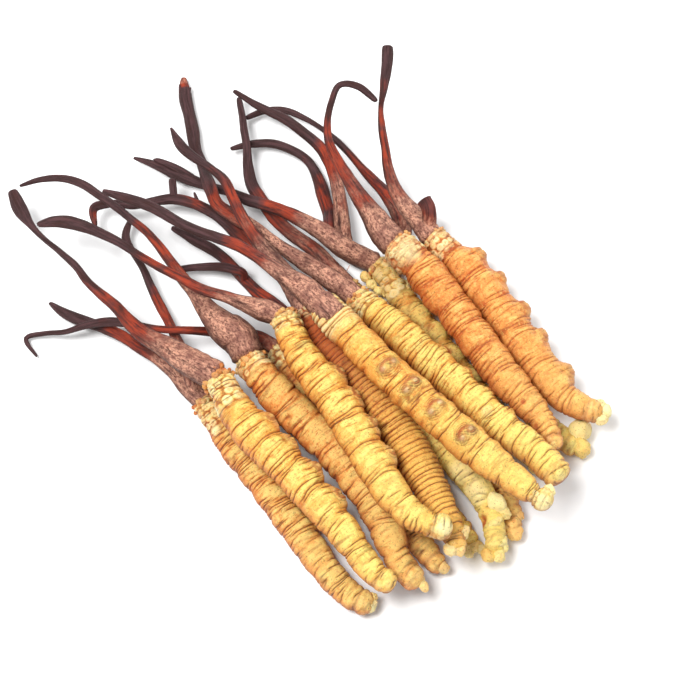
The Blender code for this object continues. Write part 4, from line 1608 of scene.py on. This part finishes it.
@dataclass
class Stroma:
    """One stroma's stalk. tones says how its colour changes along it: 0 is the pinkish
    base, 1 the red middle and 2 the dark tip. A branch grows from a share of the length
    of its parent; the others dive a little way back into their larva's head, or spread
    over it as a cap."""

    name: str
    tones: Tones
    parent: str = ""
    parent_share: float = 0.0
    spurs: tuple[Spur, ...] = ()
    columns: int = 30
    step: float = 0.38
    flatness: float = 0.8
    ridges: float = 0.16
    knots: float = 0.12
    dive: float = 0.9
    tip_dome: float = 0.6
    tip_rows: int = 8
    tip_girth: float = 0.55
    root_rows: int = 16
    root_lead: float = 3.0
    twist: float = 0.006
    wander: float = 0.14
    cap: float = 0.0
    cap_width: float = 2.5
    cap_rise: float = 0.7

    def rooted(self, curve: np.ndarray) -> np.ndarray:
        """Carries a branch back to where it leaves its parent.

        Args:
            curve: the branch's own centre line and half width, from its base.

        Returns:
            The longer line.
        """
        parent = Spine.of_node(frame["nodes"]["stroma_" + self.parent])
        reach = lengths_along(parent.points)
        at = self.parent_share * reach[-1]
        root = interpolated(at, reach, parent.points)
        ahead = interpolated(at + self.root_lead * MM, reach, parent.points) - root
        onward = curve[4, :3] - curve[0, :3]
        gap = np.linalg.norm(curve[0, :3] - root)
        leave = ahead / np.linalg.norm(ahead) * gap
        arrive = onward / np.linalg.norm(onward) * gap
        s = np.linspace(0, 1, self.root_rows, endpoint=False)[:, None]
        line = (2 * s ** 3 - 3 * s ** 2 + 1) * root + (s ** 3 - 2 * s ** 2 + s) * leave
        line = line + (3 * s ** 2 - 2 * s ** 3) * curve[0, :3] + (s ** 3 - s ** 2) * arrive
        return np.vstack([np.column_stack([line, np.full(len(line), curve[0, 3])]), curve])

    def build(self) -> bpy.types.Object:
        """Models the stalk.

        Returns:
            The finished piece.
        """
        node = "stroma_" + self.name
        spine = Spine.of_node(frame["nodes"][node])
        curve = curve_through(np.column_stack([spine.points, spine.width]))
        curve[-PER_SPAN:, 3] = curve[-PER_SPAN - 1, 3] * np.linspace(1.0, self.tip_girth, PER_SPAN)
        if self.parent:
            curve = self.rooted(curve)
        reach = lengths_along(curve[:, :3]) / MM
        length = reach[-1]
        along, dome = self.stations(length)
        line, girth = self.course(curve, reach, along)
        skin = Skin(along, self.columns, STROMA_SEED + sum(ord(letter) for letter in self.name))
        line, side, top = self.unsteady(skin, line, length)
        swell, crease = self.fibres(skin, along / length)
        radius = girth[:, None] * swell * dome[:, None]
        flat = 1 + (self.flatness - 1) * smooth_step(along / (0.3 * length))
        across = radius * np.sin(skin.angle)
        upward = radius * np.cos(skin.angle) * flat[:, None]
        rings = rings_round(line, side, top, across, upward)
        rings[..., 2] = np.maximum(rings[..., 2], 0.0)
        shares, tones = zip(*self.tones)
        tone = np.interp(along / length, shares, tones)[:, None] + 0.12 * skin.noise(3.0, 4)
        tube = Tube(node + "_stalk", len(along), self.columns)
        piece = tube.bend(rings, stalk_fields(skin, across, upward, tone, crease))
        join(piece, [spur.build(f"{node}_spur_{k}", line) for k, spur in enumerate(self.spurs)])
        hand_over(piece, node, Finish.STROMA)
        return piece

    def stations(self, length: float) -> tuple[np.ndarray, np.ndarray]:
        """The rows of the tube. There are a whole number of dozens and one, which a few
        rounds of cuts can make.

        Args:
            length: of the stalk.

        Returns:
            Each row's distance from the base, and the share of the girth that the rounded
            ends leave there.
        """
        dive = max(self.dive, self.cap)
        rows = max(int((length + dive) / self.step) // 12, 3) * 12 + 1
        tip, tip_share = round_end(length, self.tip_dome, self.tip_rows)
        along = np.concatenate([np.linspace(-dive, tip[0], rows - self.tip_rows + 1)[:-1], tip])
        dome = np.concatenate([np.ones(rows - self.tip_rows), tip_share])
        rounding, least = (1.2, 0.02) if self.cap else (1.1, 0.10)
        return along, dome * np.sqrt(np.clip((along + dive) / rounding, least, 1))

    def course(self, curve: np.ndarray, reach: np.ndarray,
               along: np.ndarray) -> tuple[np.ndarray, np.ndarray]:
        """The centre line and the girth at each row, with the base carried on into the
        larva's head or spread over it.

        Args:
            curve: the centre line and half width, from the base.
            reach: the distance of each of its rows from the base.
            along: each row's distance from the base.

        Returns:
            rows x 3 in metres, and the half width in millimetres.
        """
        line = interpolated(along, reach, curve[:, :3])
        girth = np.interp(along, reach, curve[:, 3])
        back = np.maximum(-along, 0)
        ahead = (curve[0, :3] - curve[6, :3]) / np.linalg.norm(curve[0, :3] - curve[6, :3])
        line += back[:, None] * MM * ahead
        if self.cap:
            girth = girth + (self.cap_width - girth) * smooth_step((1.5 - along) / 3.0)
            larva = Spine.of_node(frame["nodes"]["larva_" + self.name])
            behind = lengths_along(larva.points) / MM
            over = interpolated(back, behind, larva.points)
            line += smooth_step(-along / 1.5)[:, None] * (over - line)
            lift = np.interp(back, behind, larva.height) + self.cap_rise - self.cap_width
            line[:, 2] += MM * np.maximum(lift, 0) * smooth_step(0.3 - along / 2.5)
        return line, girth

    def unsteady(self, skin: Skin, line: np.ndarray,
                 length: float) -> tuple[np.ndarray, np.ndarray, np.ndarray]:
        """Lets the centre line wander a little, as dry stalks do.

        Args:
            skin: the unrolled skin.
            line: the smooth centre line.
            length: of the stalk.

        Returns:
            The line, and its side and top directions.
        """
        side, top = frames_along(line)
        free = smooth_step(skin.along / 6.0) * smooth_step((length - skin.along) / 3.0)
        sway = skin.noise(3.2, 4)[:, :2] * (self.wander * free * MM)[:, None]
        line = line + sway[:, :1] * side + 0.5 * sway[:, 1:] * top
        return (line, *frames_along(line))

    def fibres(self, skin: Skin, share: np.ndarray) -> tuple[np.ndarray, np.ndarray]:
        """The stalk's ridges, wrinkles and swellings.

        Args:
            skin: the unrolled skin.
            share: of the length, at each row.

        Returns:
            What the radius is multiplied by, and the field of dark creases.
        """
        ribs = skin.noise(8.0, 7, self.twist)
        fine = skin.noise(4.0, 15, -self.twist)
        swell = 1 + self.knots * skin.noise(3.2, 3) + self.ridges * (np.abs(ribs) - 0.35)
        swell = swell + 0.5 * self.ridges * (np.abs(fine) - 0.3) + 0.035 * skin.noise(0.9, 9)
        grainy = smooth_step(1 - share / 0.25)[:, None]
        swell = swell + 0.05 * grainy * skin.noise(0.55, 15)
        crease = 0.85 * bell(ribs, 0.11) + 0.4 * bell(fine, 0.10)
        crease = crease * skin.patches(0.6, 0.7, 3.0, 5) * (1 - 0.25 * grainy)
        return swell, np.clip(crease, 0, 1)


# ---- studio -------------------------------------------------------------------------
@dataclass(frozen=True)
class SoftLight:
    """A soft square light that faces the bundle. Its place and its side are in metres, and
    its power is in watts."""

    name: str
    place: Triple
    side: float
    power: float

    def build(self) -> None:
        """Adds the light."""
        data = bpy.data.lights.new(self.name, "AREA")
        data.size = self.side
        data.energy = self.power
        light = bpy.data.objects.new(self.name, data)
        bpy.context.scene.collection.objects.link(light)
        light.location = self.place
        light.rotation_mode = "QUATERNION"
        light.rotation_quaternion = light.location.to_track_quat("Z", "Y")


@dataclass
class Studio:
    """The plain pale floor, the soft lights, the even sky and the camera. Lengths are in
    metres, but the camera's sensor is in millimetres."""

    floor_size: float = 4.0
    floor_depth: float = 0.00002
    floor_colour: Colour = (0.94, 0.94, 0.94)
    floor_roughness: float = 0.8
    lights: tuple[SoftLight, ...] = (SoftLight("key", (-0.22, 0.10, 0.62), 0.28, 5.1),
                                     SoftLight("fill", (0.50, 0.10, 0.5), 0.4, 2.3))
    sky: float = 0.46
    sensor: float = 36.0
    nearest: float = 0.01
    farthest: float = 20.0

    def build(self) -> None:
        """Sets up everything that isn't the object."""
        self.floor()
        self.camera()
        for light in self.lights:
            light.build()
        world = bpy.data.worlds.new("soft_room")
        world.use_nodes = True
        world.node_tree.nodes["Background"].inputs["Color"].default_value = (1.0, 1.0, 1.0, 1.0)
        world.node_tree.nodes["Background"].inputs["Strength"].default_value = self.sky
        bpy.context.scene.world = world
        bpy.context.scene.view_settings.view_transform = "Standard"

    def floor(self) -> None:
        """A wide pale floor under the bundle."""
        deselect_all()
        bpy.ops.mesh.primitive_plane_add(size=self.floor_size, location=(0, 0, -self.floor_depth))
        floor = bpy.context.object
        floor.name = "floor"
        recipe = Recipe("pale_floor")
        recipe.shader.inputs["Base Color"].default_value = (*self.floor_colour, 1.0)
        recipe.shader.inputs["Roughness"].default_value = self.floor_roughness
        floor.data.materials.append(recipe.material)

    def camera(self) -> None:
        """The camera at the photograph's place and angle."""
        back, right, up = VIEW.axes()
        data = bpy.data.cameras.new("camera")
        data.sensor_width = self.sensor
        data.lens = self.sensor * VIEW.focal_pixels / VIEW.picture_pixels
        data.clip_start = self.nearest
        data.clip_end = self.farthest
        camera = bpy.data.objects.new("camera", data)
        bpy.context.scene.collection.objects.link(camera)
        columns = np.column_stack([right, up, back, VIEW.place()])
        camera.matrix_world = Matrix(np.vstack([columns, [0, 0, 0, 1]]))
        bpy.context.scene.camera = camera


# ---- the bundle ---------------------------------------------------------------------
@dataclass
class Bundle:
    """All the cordyceps of the bundle."""

    larvae: tuple[Larva, ...] = field(default_factory=lambda: (
        Larva("01", Finish.GOLDEN, belly=125, segments=10, head_reach=5.2, crumb=1.35,
              crumbs=Crumbs(30, -1.0, 0.5, 0.25, 0.5, 1.0), marks=(Mark((215, 430), 1.0),),
              bulbs=(Bulb((357, 601), 1.25), Bulb((368, 605), 1.3, 0.7), Bulb((372, 598), 0.9, 0.2))),
        Larva("02", Finish.YELLOW, belly=108, belly_light=0.3,
              crests=((272, 417), (293, 439), (317, 467), (340, 495)), proleg_segments=(2, 3, 4, 5),
              proleg=0.5, proleg_size=1.2, shoulder=0.75, head_reach=6.2, crumb=1.6,
              crumbs=Crumbs(36, -1.5, 0.6, 0.25, 0.55, 1.0),
              bulbs=(Bulb((215, 368), 0.55, 0.0, 1.0, -2.2), Bulb((221, 366), 0.50, 0.1, 0.9, -2.0),
                     Bulb((219, 372), 0.55, 0.2, 0.8, -2.2), Bulb((223, 373), 0.45, 0.0, 1.0, -1.8))),
        Larva("03", Finish.ORANGE, belly=200, lighter=0.12, folds=Folds.SMOOTH, fold_depth=0.22, lump=0.22,
              head_reach=3.4, crumbs=Crumbs(26, -1.0, 1.0, 0.2, 0.5, 0.4),
              bulbs=(Bulb((410, 577), 1.3, 0.6), Bulb((419, 580), 1.1, 0.4), Bulb((424, 586), 0.8, 0.3))),
        Larva("04", Finish.YELLOW, belly=108, belly_light=0.3,
              crests=((333, 377), (353, 397), (371, 424), (390, 452)), proleg_segments=(2, 3, 4, 5),
              proleg=0.45, proleg_size=1.2, shoulder=0.7, head_reach=2.5, tail_reach=3.2, tail_crumb=0.5,
              crumbs=Crumbs(22, -0.8, 0.8, 0.2, 0.45, 1.0),
              marks=(Mark((275, 307), 0.6, 0.2, 0.0, 0.9), Mark((283, 311), 0.7, 0.25, 0.2, 0.8),
                     Mark((446, 527), 1.7, 0.2))),
        Larva("05", Finish.BROWN, shade=0.7, lighter=0.12, folds=Folds.RIBBED, segment_depth=0.08,
              fold_depth=0.22, fold_wander=0.14, evenness=0.8, lump=0.08, head_reach=1.5, tail_reach=2.5,
              bulbs=(Bulb((461, 532), 1.4, 0.6), Bulb((452, 549), 1.25, 0.6), Bulb((460, 550), 1.1, 0.4))),
        Larva("06", Finish.YELLOW, belly=0, crests=((384, 378), (406, 397), (431, 418), (460, 447)),
              proleg_segments=(2, 3, 4, 5), proleg=0.30, spread=20.0, proleg_size=1.05,
              folds=Folds.BELLY_UP, segment_depth=0.08, fold_depth=0.14, lump=0.12, head_reach=6.2,
              head_crumb=0.35, bands=5.6, tail_reach=3.4, tail_crumb=0.75, neck=0.35, pad=1.75,
              tip_pale=1.0, crumbs=Crumbs(0), marks=(Mark((544, 503), 1.6, 0.15),),
              bulbs=(Bulb((549, 491), 0.9, 0.7),)),
        Larva("07", Finish.YELLOW, belly=112, lighter=0.15, folds=Folds.CLOSE, tail_reach=2.4,
              crumbs=Crumbs(30, -0.8, 1.2, 0.2, 0.5, 0.8),
              marks=(Mark((487, 411), 1.1, 0.15, 0.3, 0.2), Mark((564, 477), 1.4, 0.2, 0.3))),
        Larva("08", Finish.YELLOW, belly=35, shade=0.12, lighter=0.4,
              crests=((421, 310), (437, 331), (456, 354), (473, 375)), proleg_segments=(),
              segment_depth=0.4, rows=281, columns=64, head_reach=7.5, crumb=1.3, folds=Folds.SMOOTH,
              fold_depth=0.10, warmth=0.22, crumbs=Crumbs(36, -1.5, 1.5, 0.25, 0.55, 1.0),
              marks=(Mark((421, 312), 1.9, 0.65, 0.0), Mark((438, 331), 1.8, 0.65, 0.0),
                     Mark((430, 328), 0.9, -0.2, 0.0, 0.6), Mark((456, 354), 1.6, 0.55, 0.0),
                     Mark((449, 352), 0.8, -0.25, 0.0, 0.9), Mark((475, 375), 1.4, 0.45, 0.1)),
              bulbs=(Bulb((366, 277), 0.95, 0.3, 0.1), Bulb((371, 285), 0.95, 0.5),
                     Bulb((379, 291), 0.85, 0.4), Bulb((405, 285), 0.9, 0.6),
                     Bulb((386, 293), 0.8, 0.2, 0.15))),
        Larva("09", Finish.ORANGE, lighter=-0.18, ink=0.55, folds=Folds.CLOSE, fold_depth=0.13,
              head_reach=4.0, tail_reach=2.4,
              marks=(Mark((408, 250), 2.4, 0.1, 0.8), Mark((523, 402), 0.55, -0.12, 0.0, 0.9),
                     Mark((536, 426), 0.5, -0.12, 0.0, 0.9))),
        Larva("10", Finish.ORANGE, belly=108, lighter=-0.15, belly_light=0.9, ink=0.5, fold_depth=0.12,
              crests=((483, 250), (502, 273), (526, 304), (547, 330), (570, 370)),
              proleg_segments=(1, 2, 3, 4, 5), proleg=0.85, proleg_size=1.4, shoulder=0.6, head_reach=4.5,
              bulbs=(Bulb((600, 405), 1.0, 0.7), Bulb((605, 411), 1.1, 1.0), Bulb((597, 414), 1.4, 1.0),
                     Bulb((602, 419), 1.0, 0.7))),
        Larva("11", Finish.YELLOW, belly=60, shade=0.12, lighter=0.4, segments=8, rows=281, columns=60,
              folds=Folds.SMOOTH, proleg_segments=(), segment_depth=0.10, warmth=0.10,
              marks=(Mark((460, 472), 2.4, 0.2, 0.45), Mark((476, 492), 2.6, 0.2, 0.55),
                     Mark((481, 520), 1.3, -0.6, 0.0, 1.0), Mark((476, 526), 0.9, -0.3, 0.0, 1.0)),
              bulbs=(Bulb((495, 504), 1.7, 0.7, drop=-0.9), Bulb((503, 512), 1.2, 0.4, drop=-0.6),
                     Bulb((495, 523), 1.5, 0.4, drop=-0.7), Bulb((499, 543), 1.5, 0.5),
                     Bulb((499, 556), 1.15, 0.4), Bulb((488, 556), 1.15, 0.1, 0.2))),
        Larva("12", Finish.ORANGE, segments=8, rows=201, columns=48,
              bulbs=(Bulb((514, 531), 1.4, 0.1), Bulb((505, 529), 0.9), Bulb((518, 517), 1.1, 0.1))),
        Larva("13", Finish.ORANGE, segments=8, rows=201, columns=48,
              bulbs=(Bulb((443, 568), 1.2, 0.3), Bulb((436, 562), 1.1, 0.1))),
        Larva("14", Finish.YELLOW, segments=8, rows=201, columns=48,
              bulbs=(Bulb((475, 546), 1.2, 0.4, 0.1), Bulb((468, 551), 1.1, 0.6, 0.1),
                     Bulb((482, 549), 1.0, 0.7, 0.1))),
        Larva("15", Finish.YELLOW, shade=0.5, segments=8, rows=201, columns=48,
              bulbs=(Bulb((580, 431), 2.0, 0.5), Bulb((581, 448), 1.8, 0.1))),
    ))
    stromata: tuple[Stroma, ...] = field(default_factory=lambda: (
        Stroma("01", ((0, 0), (0.3, 0.3), (0.45, 1.0), (0.62, 1.2), (0.8, 2.0))),
        Stroma("01_second", ((0, 0.2), (0.3, 0.7), (0.42, 1.0), (0.55, 1.0), (0.66, 1.9)), parent="01"),
        Stroma("02", ((0, 0), (0.2, 0.3), (0.3, 0.95), (0.47, 1.0), (0.58, 1.8), (0.75, 2.0))),
        Stroma("03", ((0, 0), (0.24, 0.1), (0.36, 0.9), (0.52, 1.1), (0.62, 1.8), (0.9, 2.0), (1, 1.8)),
               ridges=0.10),
        Stroma("04", ((0, 0.2), (0.2, 0.4), (0.3, 0.8), (0.36, 1.0), (0.54, 1.1), (0.64, 1.9), (1, 1.8)),
               flatness=0.65),
        Stroma("05", ((0, 0.1), (0.3, 0.2), (0.38, 0.9), (0.58, 1.0), (0.7, 1.8), (1, 2.0))),
        Stroma("06", ((0, 0), (0.22, 0.2), (0.3, 0.9), (0.42, 1.1), (0.5, 1.8), (0.85, 2.0), (1, 1.8)),
               cap=4.2),
        Stroma("07", ((0, 0.1), (0.35, 0.2), (0.45, 0.8), (0.55, 1.2), (0.62, 1.9), (0.95, 2.0),
                      (0.975, 0.6)),
               spurs=(Spur((188, 98), (191, 87), 0.4), Spur((181, 94), (179.5, 84), 0.4),
                      Spur((350, 286), (335, 290), 0.06, 1.5, 0.0, 0.3),
                      Spur((341, 284), (350, 265), 0.08, 2.0, 0.0, 0.3)), flatness=0.65),
        Stroma("08", ((0, 0), (0.28, 0.2), (0.36, 1.0), (0.44, 1.1), (0.52, 1.9), (1, 2.0)),
               spurs=(Spur((192, 178), (153, 159), 0.8, 0.3, 2.0, 0.45),), ridges=0.2),
        Stroma("08_second", ((0, 0.3), (0.3, 0.4), (0.4, 0.9), (0.5, 1.0), (0.6, 1.7), (1, 2.0)),
               "08", 0.08),
        Stroma("08_fork", ((0, 0.6), (0.25, 1.1), (0.4, 0.9), (0.5, 1.9), (0.58, 1.6), (0.64, 2.0)),
               "08", 0.16),
        Stroma("09", ((0, 0), (0.14, 0.1), (0.22, 0.7), (0.35, 1.0), (0.5, 1.0), (0.62, 1.2), (0.72, 1.7),
                      (1, 2.0))),
        Stroma("10", ((0, 0.1), (0.2, 0.3), (0.32, 0.7), (0.45, 1.0), (0.62, 1.0), (0.75, 1.55),
                      (0.85, 1.75)), tip_dome=0.25),
        Stroma("10_second", ((0, 0.1), (1, 1.0)), "10", 0.0, tip_dome=0.3),
        Stroma("11", ((0, 0.5), (0.3, 1.0), (0.45, 1.5), (0.55, 1.8), (0.62, 1.3), (0.7, 2.0), (0.93, 1.8),
                      (0.97, 0.8)), spurs=(Spur((174, 199), (172, 178), 0.7, 0.5, 1.8, 0.2),
                                           Spur((198, 204), (194, 192), 0.45, 0.4, 2.0, 0.6))),
        Stroma("12", ((0, 0.3), (0.35, 0.8), (0.5, 1.2), (0.6, 1.6), (0.75, 2.0))),
        Stroma("13", ((0, 0.6), (0.2, 0.9), (0.4, 1.0), (0.5, 1.8), (1, 2.0))),
        Stroma("14", ((0, 0.5), (0.3, 1.0), (0.5, 1.3), (0.65, 1.8), (1, 2.0))),
        Stroma("14_fork", ((0, 1.4), (1, 2.0)), "14", 0.45, flatness=0.6),
        Stroma("15", ((0, 0.3), (0.15, 0.6), (0.3, 1.2), (0.5, 1.5), (0.6, 1.9), (1, 2.0))),
    ))

    def build(self) -> None:
        """Models every larva and every stroma."""
        for larva in self.larvae:
            larva.build()
        for stroma in self.stromata:
            stroma.build()


def main() -> None:
    """Builds the bundle and its studio."""
    logging.basicConfig(level=logging.INFO, format="%(name)s: %(message)s")
    Studio().build()
    Bundle().build()


if __name__ == "__main__":
    main()
